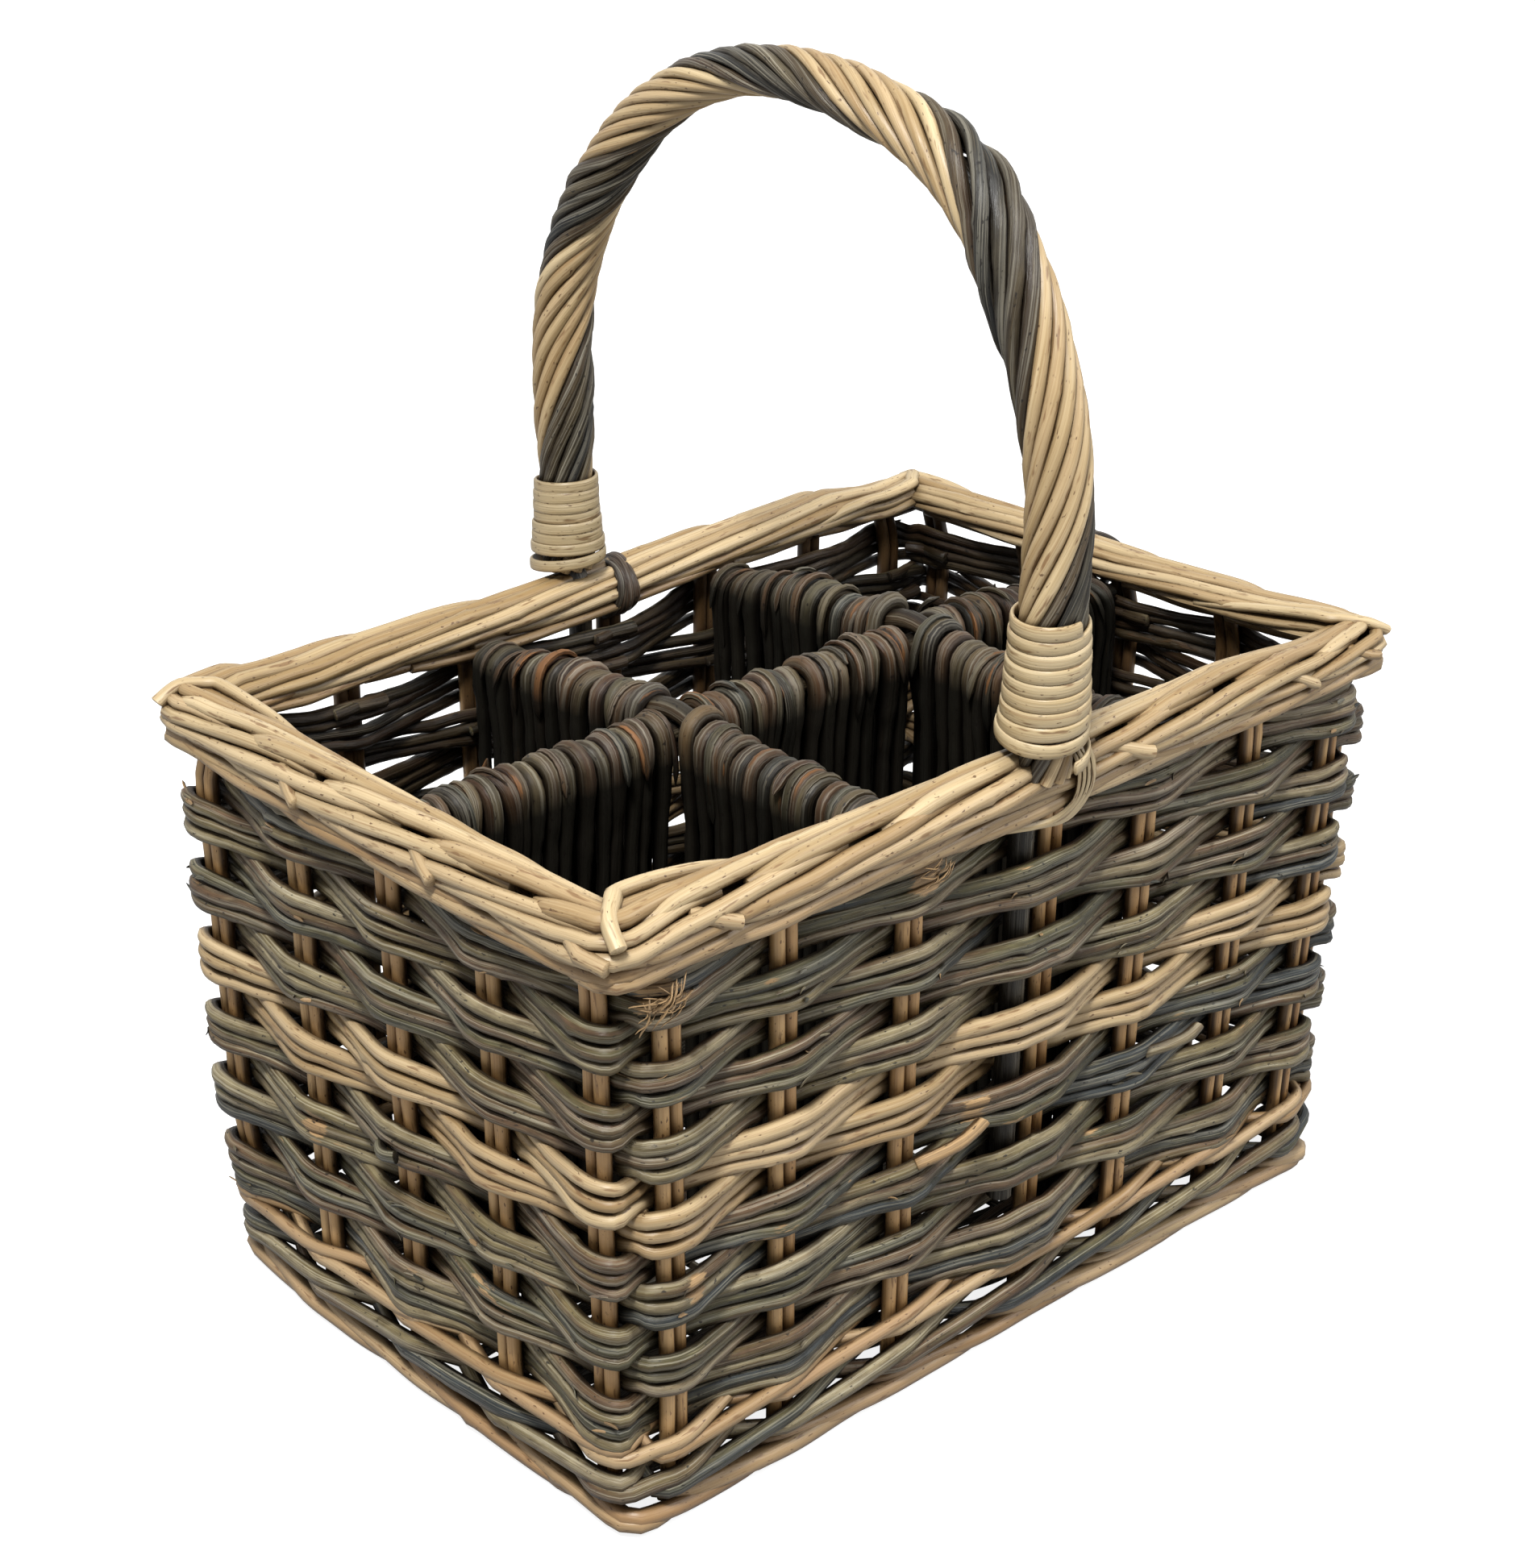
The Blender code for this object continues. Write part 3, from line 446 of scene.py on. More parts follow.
def barked_willow(name, shades, peel_colour, pale_line, gloss, crevice_shade_depth, inside_shade, sunk=False):
    """Willow with its bark on: olive, slate or brown by rod, ribbed, scratched and peeled in places."""
    n = Nodes(name)
    place, tint, warm, peel = n.rod()
    cloud = n.noise(place, (180.0, 180.0, 14.0), 4.0, 0.6)
    mottle = n.noise(place, (520.0, 520.0, 95.0), 4.0, 0.6)
    rib = n.noise(place, (1500.0, 1500.0, 14.0), 4.0, 0.6)
    which = n.math("ADD", tint, n.band(cloud, 0.25, 0.75, -0.2, 0.2), clamp=True)
    ramp = n.tree.nodes.new("ShaderNodeValToRGB")
    ramp.color_ramp.interpolation = "LINEAR"
    while len(ramp.color_ramp.elements) < len(shades):
        ramp.color_ramp.elements.new(0.5)
    for k, shade in enumerate(shades):
        ramp.color_ramp.elements[k].position = k / (len(shades) - 1)
        ramp.color_ramp.elements[k].color = (*shade, 1.0)
    n.tree.links.new(which, ramp.inputs[0])
    colour = ramp.outputs[0]
    dim = n.add("CombineColor", {0: 0.42, 1: 0.38, 2: 0.34})
    colour = n.mix(n.band(mottle, 0.35, 0.6, 0.85, 0.0), colour, n.mix(1.0, colour, dim, "MULTIPLY"))
    lit = n.add("CombineColor", {0: 1.0, 1: 0.96, 2: 0.8})
    colour = n.mix(n.band(rib, 0.48, 0.7, 0.0, 0.34), colour, n.mix(1.0, colour, n.mix(0.6, lit, pale_line), "SCREEN"))
    scratch = n.noise(place, (2600.0, 2600.0, 60.0), 3.0)
    colour = n.mix(n.band(scratch, 0.62, 0.74, 0.0, 0.5), colour, pale_line)
    flake = n.noise(place, (300.0, 300.0, 48.0), 3.0, 0.5)
    edge = n.math("ADD", n.math("MULTIPLY", mottle, 0.35), flake)
    open_share = n.band(peel, 0.0, 4.0, 0.0, 1.28)
    patch = n.band(n.math("ADD", edge, open_share), 0.95, 1.0)
    if not sunk:
        patch = n.math("MAXIMUM", patch, torn_open(n, mottle))
    torn = n.mix(n.band(rib, 0.35, 0.65), peel_colour, tuple(0.4 * c for c in peel_colour))
    colour = n.mix(patch, colour, torn)
    colour = n.mix(n.math("MULTIPLY", warm, 0.5), colour, n.mix(0.5, torn, colour))
    if sunk:
        # Painted shade: below the tops of the folds, deep in the basket, the colour goes near black and the specular
        # drops, where little light reaches.
        height = n.tree.nodes.new("ShaderNodeSeparateXYZ")
        n.tree.links.new(n.add("NewGeometry"), height.inputs[0])
        painted_depth_shade = n.band(height.outputs[2], 0.1975, 0.209, 0.97, 0.0)
        colour = n.mix(painted_depth_shade, colour, (0.0095, 0.0088, 0.0068))
        n.put(n.shader.inputs["Specular IOR Level"], n.band(painted_depth_shade, 0.0, 1.0, 0.26, 0.06))
        # Painted shade: the flanks of each fold, where it presses against its neighbours, go near black.
        section = n.tree.nodes.new("ShaderNodeSeparateXYZ")
        n.tree.links.new(place, section.inputs[0])
        side = n.math("ABSOLUTE", section.outputs[1])
        colour = n.mix(n.band(side, 0.0016, 0.003, 0.0, 0.8), colour, (0.006, 0.005, 0.004))
    else:
        n.shader.inputs["Specular IOR Level"].default_value = 0.32
        # Painted light on each rod's upper or outer side, painted shade on its underside.
        colour = painted_top_light(n, place, colour, 0.45, 1.5)
    speck = n.noise(place, (800.0, 800.0, 420.0), 1.5)
    colour = n.mix(n.band(speck, 0.66, 0.73, 0.0, 0.85), colour, (0.008, 0.006, 0.005))
    # Painted shade: the colour is darkened between close rods and on the basket's inside.
    n.put(n.shader.inputs["Base Color"], painted_crevice_shade(n, painted_inside_shade(n, colour, inside_shade), crevice_shade_depth, 0.25))
    n.put(n.shader.inputs["Roughness"], n.band(cloud, 0.2, 0.8, gloss - 0.1, gloss + 0.12))
    coarse = n.bump(n.math("SUBTRACT", mottle, n.math("MULTIPLY", patch, 0.35)), 0.6, 0.0007)
    n.put(n.shader.inputs["Normal"], n.bump(rib, 0.75, 0.0006, coarse))
    return n.material


buff = buff_willow("buff_willow", (0.6, 0.47, 0.276), (0.31, 0.208, 0.092), (0.31, 0.17, 0.075), 0.4, 0.9)
cane = buff_willow("flat_cane", (0.61, 0.49, 0.3), (0.42, 0.31, 0.155), (0.4, 0.26, 0.11), 0.36, 0.97)
stake_buff = buff_willow("stake_willow", (0.66, 0.45, 0.215), (0.4, 0.24, 0.095), (0.36, 0.18, 0.062), 0.4, 0.9, 0.85)
olive = (0.128, 0.101, 0.045)
slate = (0.024, 0.029, 0.03)
umber = (0.092, 0.052, 0.026)
ash = (0.212, 0.174, 0.1)
moss = (0.075, 0.064, 0.026)
dark = barked_willow("dark_willow", (slate, moss, umber, ash, olive, umber, moss, slate), (0.42, 0.27, 0.13),
                     (0.32, 0.28, 0.175), 0.4, 0.88, 0.95)
handle_dark = barked_willow("handle_bark", ((0.011, 0.012, 0.012), (0.042, 0.033, 0.018), (0.03, 0.017, 0.01),
                                            (0.06, 0.046, 0.023), (0.016, 0.013, 0.01)), (0.3, 0.17, 0.07),
                            (0.15, 0.12, 0.07), 0.42, 0.95, 0.0)
inner_dark = barked_willow("brown_willow", ((0.02, 0.016, 0.012), (0.06, 0.049, 0.032), (0.038, 0.024, 0.016),
                                            (0.07, 0.04, 0.022), (0.018, 0.016, 0.014)), (0.24, 0.11, 0.04),
                           (0.1, 0.085, 0.06), 0.42, 0.95, 0.0)
fold_dark = barked_willow("folded_willow", ((0.018, 0.014, 0.009), (0.115, 0.09, 0.048), (0.05, 0.025, 0.013),
                                            (0.1, 0.056, 0.026), (0.02, 0.023, 0.02), (0.085, 0.072, 0.04)),
                          (0.26, 0.12, 0.045), (0.22, 0.18, 0.115), 0.48, 0.97, 0.0, True)


def band_line(height, row):
    """One weave row's closed line as x, y and side, from -1 inside the stakes to 1 outside."""
    path = []
    for index, (spot, along, outward) in enumerate(stake_spots(height)):
        side = 1 if (index + row) % 2 == 1 else -1
        before = after = flat_half
        offset = band_offset
        if index in handle_spots:
            stick_side = stick_radius + flat_half - 2 * stake_radius - handle_place
            rods_side = handle_stake_place + flat_half
            before, after = (stick_side, rods_side) if along[0] > 0 else (rods_side, stick_side)
            if height > stick_foot - band_pitch:
                offset += stick_radius - stake_radius
        first = index in first_of_wall
        last = index in last_of_wall
        if side < 0:
            before = inner_flat_half if first else before
            after = inner_flat_half if last else after
        reach = outer_flat_half
        eased = outward * (offset - 0.003)
        if first and side > 0:
            path.append((*(spot - along * reach + eased), 1))
        path.append((*(spot - along * before + outward * offset * side), side))
        path.append((*(spot + along * after + outward * offset * side), side))
        if last and side > 0:
            path.append((*(spot + along * reach + eased), 1))
    return np.array(path)


def ring_frame(line):
    """A closed x, y line's outward directions."""
    after = np.roll(line[:, :2], -1, axis=0)
    before = np.roll(line[:, :2], 1, axis=0)
    along = unit(after - before)
    return np.stack([along[:, 1], -along[:, 0]], 1)


# Rod ends that stand out of the weave: row, start, way along the wall, way outwards, length and peeling.
spurs = ((8, (-0.052, -0.1125, 0.0905), (0.96, -0.05, 0.27), (0, -1, 0), 0.026, 3.5),
         (9, (0.058, -0.1125, 0.0885), (0.93, -0.2, 0.3), (0, -1, 0), 0.02, 0.4),
         (8, (-0.1735, 0.008, 0.0925), (-0.2, -0.93, 0.3), (-1, 0, 0), 0.018, 0.2))


def add_spur(rods, start, way, outward, length, peel):
    rng = rods.rng
    at = np.linspace(0.0, length, 10)[:, None]
    way = unit(np.array(way, float))
    bend = np.array(outward, float) * 0.004 * np.sin(at / length * math.pi * 0.75)
    path = np.array(start, float) + way * at + bend
    rods.add(path, rng.uniform(0.002, 0.0024), (0, 0, 1), sides=10, peel=peel, rough=0.09, slant=0.5, knots=0.012)


def add_frays(rods, path, outward, side, radius):
    """Short slivers of bark that stand off a rod where it runs outside the stakes."""
    rng = rods.rng
    outside = np.flatnonzero(side > 0.7)
    if not len(outside):
        return
    for _ in range(int(rng.integers(1, 4))):
        k = int(rng.choice(outside))
        if k + 1 >= len(path):
            continue
        along = unit(path[k + 1] - path[k]) * rng.choice((-1.0, 1.0))
        turn = rng.uniform(-0.6, 1.3)
        facing = np.array([*(outward[k] * math.cos(turn)), math.sin(turn)])
        at = np.linspace(0.0, rng.uniform(0.0025, 0.006), 5)[:, None]
        lift = (at / at[-1]) ** 2 * rng.uniform(0.0006, 0.002)
        strip = path[k] + facing * (radius[k] * 0.93 + lift) + along * at
        rods.add(strip, rng.uniform(0.0004, 0.0008), facing, sides=5, tall=0.45, tips=(0.8, 0.3),
                 peel=float(rng.choice((0.0, 0.0, 2.5))))


def add_fibres(rods, middle, count):
    """A tangle of thin torn fibres round a spot on the front wall."""
    rng = rods.rng
    for _ in range(count):
        length = rng.uniform(0.005, 0.014)
        turn = rng.normal(0.25, 0.5)
        at = np.linspace(-0.5, 0.5, 9)
        curl = rng.uniform(-0.004, 0.004) * (at * at - 0.25)
        x = middle[0] + rng.normal(0, 0.004) + length * at * math.cos(turn) - curl * math.sin(turn)
        z = middle[2] + rng.normal(0, 0.0022) + length * at * math.sin(turn) + curl * math.cos(turn)
        y = middle[1] - rng.uniform(0.0, 0.0014) - 0.001 * np.cos(at * 6)
        path = np.column_stack([x, y, z])
        rods.add(path, rng.uniform(0.00018, 0.0003), (0, -1, 0), sides=5, peel=2.6, tips=(0.4, 0.3))


def make_bands():
    for row in range(1, band_count + 1):
        rods = Rods(100 + row)
        rng = rods.rng
        height = top_band_height - (row - 1) * band_pitch
        is_buff = row in (6, 7)
        closed = kneed(band_line(height, row), 0.0013)
        closed = np.vstack([closed, closed[:1]])
        line, side = spaced(closed[:, :2], 0.0019, closed[:, 2])
        out = ring_frame(line)
        total = len(line)
        inside = [k for k in range(total) if side[k] < -0.93]
        far = smooth(out[:, 0] + out[:, 1], -0.5, 0.9)
        within = smooth(-side, -0.2, 1.0) * (1 - far)
        levels = {1: (-1, 0, 1, 1.85), band_count: (-1.85, -1, 0, 1)}.get(row, (-1, 0, 1))
        for level in levels:
            breaks = sorted(rng.choice(inside, 4, replace=False))
            spread = (0.0044 + 0.001 * side * side + 0.0009 * within) * (1 - 0.09 * far)
            for start, stop in zip(breaks, breaks[1:] + [breaks[0] + total]):
                if stop - start < 14:
                    continue
                keep = np.arange(start - 5, stop + 6) % total
                path2 = line[keep]
                outward = out[keep]
                runs = run_lengths(path2)
                left = runs[-1] - runs
                tuck = np.exp(-((runs / 0.009) ** 2)) + np.exp(-((left / 0.009) ** 2))
                shift = wander(rng, runs, 0.00016, 0.05, 0.15) - 0.0028 * tuck
                lift = wander(rng, runs, 0.0006, 0.05, 0.2, 3) + wander(rng, runs, 0.00018, 0.015, 0.04, 3)
                xy = path2 + outward * shift[:, None]
                z = height + level * spread[keep] + lift
                lean = np.zeros_like(xy)
                lean[:, 0] = end_lean * (z - height) * (np.abs(outward[:, 0]) > 0.7) * np.sign(outward[:, 0])
                lean[:, 1] = side_lean * (z - height) * (np.abs(outward[:, 1]) > 0.7) * np.sign(outward[:, 1])
                path = np.column_stack([xy + lean, z])
                thick = rng.uniform(0.0023, 0.0028)
                taper = np.linspace(1.06, rng.uniform(0.78, 0.95), len(path))
                radius = thick * taper * (1 + wander(rng, runs, 0.022, 0.03, 0.1))
                radius = radius * (1 + 0.14 * within[keep]) * (1 - 0.1 * far[keep])
                if not is_buff:
                    add_frays(rods, path, outward, side[keep], radius)
                rods.add(path, radius, (0, 0, 1), sides=9, knots=0.05 if is_buff else 0.03,
                         peel=0.0 if is_buff else max(0.0, rng.normal(-0.05, 0.25)),
                         warm=rng.uniform(0, 0.3) if is_buff else max(0.0, rng.normal(-0.2, 0.2)),
                         square=0.25, rough=0.03 if is_buff else 0.06)
        for spur in spurs:
            if spur[0] == row:
                add_spur(rods, *spur[1:])
        if row == 1:
            add_fibres(rods, (-0.1636, -0.1178, 0.1935), 26)
            add_fibres(rods, (-0.054, -0.1178, 0.196), 10)
        name = "band_rods_%02d" % row
        look = buff if is_buff else dark
        rods.make(name, look, ["weave_band_%02d" % row])


def stand_line(low, high, step=0.006):
    count = max(2, int(round((high[2] - low[2]) / step)) + 1)
    share = np.linspace(0.0, 1.0, count)[:, None]
    return np.array(low, float) + (np.array(high, float) - np.array(low, float)) * share


def make_stakes():
    low_spots = stake_spots(stake_foot)
    high_spots = stake_spots(stake_top)
    for index in range(stake_count):
        rods = Rods(300 + index)
        rng = rods.rng
        low, along, outward = low_spots[index]
        high = high_spots[index][0]
        if index in handle_spots:
            low = np.array([handle_stake_place, low[1]])
            high = np.array([handle_stake_place, high[1]])
        for side in (-1, 1):
            shift = along * stake_radius * 0.97 * side
            path = stand_line((*(low + shift), stake_foot), (*(high + shift), stake_top))
            runs = run_lengths(path)
            path[:, :2] += outward * wander(rng, runs, 0.00012)[:, None]
            path[:, :2] += along * wander(rng, runs, 0.00012)[:, None]
            radius = stake_radius * rng.uniform(0.94, 1.0) * (1 + wander(rng, runs, 0.015))
            rods.add(path, radius, (*outward, 0), sides=10, knots=0.06, warm=rng.uniform(0.25, 0.75))
        rods.make("stake_rods_%02d" % (index + 1), stake_buff, ["stake_pair_%02d" % (index + 1)])


def make_wales():
    for name, node, middle, look, slot in (("wale_buff_rods", "wale_buff", 0.0314, buff, "buff_willow"),
                                           ("wale_dark_rods", "wale_dark", 0.0187, dark, "dark_willow")):
        rods = Rods(500 if look is buff else 501)
        rng = rods.rng
        spots = stake_spots(middle)
        for strand in range(3):
            knees = []
            for index, (spot, along, outward) in enumerate(spots):
                step = (index + strand) % 3
                side = -1 if step == 2 else 1
                climb = (-0.0034, 0.0004, 0.0042)[step]
                reach = flat_half if side > 0 else 0.005
                if index in handle_spots and side > 0:
                    reach += 0.004
                if index in first_of_wall and side > 0:
                    corner = spot - along * 0.0105 + outward * (band_offset - 0.0025)
                    knees.append((*corner, climb - 0.001))
                knees.append((*(spot - along * reach + outward * band_offset * side), climb - 0.0006))
                knees.append((*(spot + along * reach + outward * band_offset * side), climb + 0.0006))
                if index in last_of_wall and side > 0:
                    corner = spot + along * 0.0105 + outward * (band_offset - 0.0025)
                    knees.append((*corner, climb + 0.001))
            closed = rounded(knees, 2, 0.22, closed=True)
            begin = int(np.argmin(np.abs(closed[:, 0] - 0.06) - 10 * (closed[:, 1] > 0)))
            closed = np.roll(closed, -begin, axis=0)
            closed = np.vstack([closed, closed[:1]])
            line, climb = spaced(closed[:, :2], 0.0034, closed[:, 2])
            runs = run_lengths(line)
            z = middle + climb * (0.9 if look is buff else 1.2) + wander(rng, runs, 0.00035)
            radius = (0.0023 if look is buff else 0.0027) * (1 + wander(rng, runs, 0.05, 0.05, 0.2))
            rods.add(np.column_stack([line, z]), radius, (0, 0, 1), knots=0.05, square=0.2,
                     warm=rng.uniform(0.45, 0.9) if look is buff else 0.0, peel=0.1, tall=1.1)
        rods.make(name, look, [node])


def plan_line(height, offset, ease=0.006, shift=0.0):
    """The wall's closed plan line with near square corners, from the front left corner on."""
    far = half_length(height) + offset
    wide = half_width(height) + offset
    corners = np.array([(-far, -wide), (far, -wide), (far, wide), (-far, wide)])
    line = []
    for k in range(4):
        here = corners[k]
        back = unit(corners[k - 1] - here)
        ahead = unit(corners[(k + 1) % 4] - here)
        line.append(here + back * ease)
        line.append(here + (back + ahead) * ease * 0.28)
        line.append(here + ahead * ease)
    return np.array(line)


class Ring:
    """A closed line round the basket, read by place in stakes, with the outward direction."""

    def __init__(self, height, offset, ease=0.006):
        corners = plan_line(height, offset, ease)
        self.line = np.vstack([corners, corners[:1]])
        self.runs = run_lengths(self.line)
        self.total = self.runs[-1]
        marks = []
        for spot, _, outward in stake_spots(height):
            marks.append(self.run_at(spot + outward * offset))
        self.marks = np.array(marks)
        first = int(np.argmin(self.marks))
        self.order = np.unwrap(np.roll(self.marks, -first) * 2 * math.pi / self.total)
        self.order = np.roll(self.order * self.total / (2 * math.pi), 0)
        self.first = first

    def run_at(self, point):
        best = None
        for k in range(len(self.line) - 1):
            a, b = self.line[k], self.line[k + 1]
            share = np.clip((point - a) @ (b - a) / ((b - a) @ (b - a)), 0, 1)
            gap = np.linalg.norm(a + (b - a) * share - point)
            if best is None or gap < best[0]:
                best = (gap, self.runs[k] + share * (self.runs[k + 1] - self.runs[k]))
        return best[1]

    def at_stake(self, place):
        """The run along the line for a place counted in stakes, which may pass the end."""
        laps = np.floor(place / stake_count)
        rest = place - laps * stake_count
        rest = (rest - self.first) % stake_count
        steps = np.append(self.order, self.order[0] + self.total)
        return np.interp(rest, np.arange(stake_count + 1), steps)

    def point(self, run):
        run = run % self.total
        x = np.interp(run, self.runs, self.line[:, 0])
        y = np.interp(run, self.runs, self.line[:, 1])
        return np.stack([x, y], -1)

    def outward(self, run):
        reach = 0.004
        along = unit(self.point(run + reach) - self.point(run - reach))
        return np.stack([along[..., 1], -along[..., 0]], -1)


def border_rod(rods, ring, start, table, radius, step=0.0034, wave=0.0003, **more):
    """A rod that follows the ring from a stake on: table rows are stakes on, outward and up."""
    knots = rounded(np.array(table, float), 2, 0.25)
    base = ring.at_stake(np.array([start]))[0]
    runs = np.array([ring.at_stake(np.array([start + place]))[0] for place in knots[:, 0]])
    runs = base + (runs - base + ring.total * 1.5) % ring.total - ring.total * 0.5
    count = max(4, int((runs[-1] - runs[0]) / step))
    run = np.linspace(runs[0], runs[-1], count)
    out = np.interp(run, runs, knots[:, 1])
    up = np.interp(run, runs, knots[:, 2])
    rng = rods.rng
    along = run - run[0]
    out = out + wander(rng, along, wave)
    up = up + wander(rng, along, wave)
    xy = ring.point(run) + ring.outward(run) * out[:, None]
    path = np.column_stack([xy, up])
    size = radius * (1 + wander(rng, along, 0.025))
    size = size * np.linspace(1.06, 0.94, count)
    rods.add(path, size, (0, 0, 1), sides=10, knots=0.05, **more)


def turned(rows, middle, swing=0.0, grow=0.0):
    """Table rows from stakes on, degrees round the border and reach in mm: 0 is out, 90 is up."""
    made = []
    for place, degrees, reach in rows:
        angle = math.radians(degrees + swing)
        size = (reach + grow) * mm
        made.append((place, size * math.cos(angle), middle + size * math.sin(angle)))
    return made


# The border's three courses, each row as stakes on, degrees round it and reach in mm.
side_course = ((-0.55, -8, 3.5), (-0.3, -16, 6.6), (-0.05, -24, 8.0), (0.3, -26, 8.3), (0.8, -12, 8.3), (1.3, 6, 8.2),
               (1.8, 25, 8.0), (2.2, 41, 7.6), (2.5, 53, 6.4), (2.75, 62, 4.2))
top_course = ((-0.2, 40, 4.4), (-0.04, 50, 7.2), (0.14, 60, 8.4), (0.5, 72, 8.2), (1.0, 85, 7.9), (1.5, 100, 7.7),
              (2.0, 117, 7.6), (2.5, 134, 7.6), (3.0, 151, 7.6), (3.5, 168, 7.6), (4.0, 186, 7.6), (4.5, 205, 7.2),
              (4.9, 222, 5.0))
low_course = ((-0.4, -44, 5.0), (-0.1, -56, 8.4), (0.2, -60, 11.0), (0.6, -60, 12.2), (1.1, -55, 11.8),
              (1.6, -50, 10.4), (2.1, -50, 9.2), (2.6, -62, 8.6), (3.1, -85, 8.2), (3.6, -108, 8.4), (4.1, -125, 7.6))
inner_course = ((-0.3, 205, 5.0), (0.0, 208, 8.4), (0.6, 215, 9.6), (1.3, 224, 10.8), (2.0, 231, 11.6),
                (2.5, 236, 9.4))
cut_course = ((-0.22, 22, 5.2), (-0.11, 6, 7.8), (0.0, -9, 9.6), (0.085, -15, 10.9))
# Places, counted in stakes, where a cut rod end stands out under the border.
cut_ends = (0.33, 3.66, 5.42, 6.42, 8.4, 9.35, 11.1, 12.6, 14.2, 15.6, 17.1, 18.4, 20.35, 21.75, 23.3)


# The rod that folds over each corner: mm on along the next wall, outwards from the wall before and the next, up.
fold_course = ((-9, 4, 0, 3), (-5, 3.2, 0, 6.4), (0, 1.4, 1.4, 9.4), (3, -3, -4.6, 10.6), (8, 0, -7.4, 10.4),
               (22, 0, -8.2, 9.4), (40, 0, -8.6, 7), (58, 0, -8.4, 2.4), (70, 0, -7.4, -1))


def corner_fold(rods, corner, ahead, middle):
    """A rod that comes up over a corner of the border, kinks and runs on along its inner edge."""
    rng = rods.rng
    outward = np.array([ahead[1], -ahead[0]])
    before_outward = -ahead
    before = -outward
    points = []
    for on, out_before, out_next, up in fold_course:
        way = ahead * max(on, 0) + before * min(on, 0)
        flat = corner + (way + before_outward * out_before + outward * out_next) * mm
        points.append((*flat, middle + up * mm))
    path = spaced(rounded(points, 2, 0.22), 0.002)[0]
    runs = run_lengths(path)
    size = rng.uniform(0.0025, 0.0028) * np.linspace(1.08, 0.85, len(path)) * (1 + wander(rng, runs, 0.03))
    rods.add(path, size, (0, 0, 1), sides=10, knots=0.04, warm=rng.uniform(0, 0.2), tint=rng.uniform(0.5, 1))


def make_top_border():
    rods = Rods(600)
    rng = rods.rng
    ring = Ring(border_middle, border_overhang, 0.0022)
    z = border_middle
    for index in range(stake_count):
        place = index + 0.85 + rng.uniform(-0.06, 0.06)
        swing = rng.uniform(-4, 4)
        border_rod(rods, ring, place - 2.2, turned(side_course, z, swing, rng.uniform(-0.2, 0.3)),
                   rng.uniform(0.0025, 0.0029), step=0.0026, warm=rng.uniform(0, 0.35), tint=rng.uniform(0, 1))
        border_rod(rods, ring, place, turned(top_course, z, swing, rng.uniform(-0.2, 0.3)),
                   rng.uniform(0.0026, 0.003), step=0.0026, warm=rng.uniform(0, 0.25), tint=rng.uniform(0, 1))
        border_rod(rods, ring, place + rng.uniform(-0.12, 0.12), turned(low_course, z, rng.uniform(-6, 4)),
                   rng.uniform(0.0024, 0.0028), step=0.0026, warm=rng.uniform(0.1, 0.6), tint=rng.uniform(0, 1))
        if rng.random() < 0.4:
            border_rod(rods, ring, place + rng.uniform(-0.2, 0.2), turned(inner_course, z, rng.uniform(-3, 3)),
                       rng.uniform(0.0021, 0.0025), warm=rng.uniform(0.4, 0.9), tint=rng.uniform(0, 0.6))
    for place in cut_ends:
        border_rod(rods, ring, place, turned(cut_course, z, rng.uniform(-8, 5)), rng.uniform(0.0026, 0.0029),
                   step=0.002, warm=rng.uniform(0.1, 0.35), wave=0.0)
    far = half_length(z) + border_overhang
    wide = half_width(z) + border_overhang
    for x, y, ahead in ((-far, -wide, (1, 0)), (far, -wide, (0, 1)), (far, wide, (-1, 0)), (-far, wide, (0, -1))):
        corner_fold(rods, np.array([x, y]), np.array(ahead, float), z)
    rods.make("top_border_rods", buff, ["top_border"])


def make_foot_border():
    rods = Rods(650)
    rng = rods.rng
    ring = Ring(0.0045, 0.0, 0.004)
    for index in range(stake_count):
        table = [(-0.12, -0.003, 0.0066), (0.0, 0.0014, 0.0066), (0.5, 0.0028, 0.006), (1.0, 0.0034, 0.0046),
                 (1.6, 0.0028, 0.0036), (2.1, -0.0005, 0.0034)]
        radius = rng.uniform(0.0029, 0.0033)
        border_rod(rods, ring, index + 0.9 + rng.uniform(-0.08, 0.08), table, radius,
                   warm=rng.uniform(0.3, 0.9), tint=rng.uniform(0, 1), tips=(0.72, 0.8))
    rods.make("foot_border_rods", buff, ["foot_border"])


def make_base():
    rods = Rods(700)
    rng = rods.rng
    height = 0.0122
    far = half_length(height) - 0.0085
    wide = half_width(height) - 0.0085
    sticks = np.linspace(-far + 0.012, far - 0.012, 12)
    for x in sticks:
        path = spaced(np.array([(x, -wide, height), (x, wide, height)]), 0.02)[0]
        rods.add(path, 0.0016, (0, 0, 1), sides=6)
    rows = int(2 * wide / 0.0042)
    for row in range(rows):
        y = -wide + 0.0021 + row * (2 * wide - 0.0042) / (rows - 1)
        xs = np.linspace(-far, far, 90)
        wave = np.cos(math.pi * (xs - sticks[0]) / (sticks[1] - sticks[0])) * (1 if row % 2 else -1)
        inset = 0.004 if abs(y) > wide - 0.008 else 0.0
        path = np.column_stack([xs * (far - inset) / far, np.full_like(xs, y), height + 0.0016 * wave])
        rods.add(path, 0.00165, (0, 0, 1), sides=6, wide=1.5, tall=0.95)
    rods.make("base_weave", inner_dark, ["base_panel"])


def ridge_hump(place):
    full = 2 * rail_radius + 0.0003
    share = max(0.0, 1 - abs(place) / 0.03)
    return full * share * share * (3 - 2 * share)


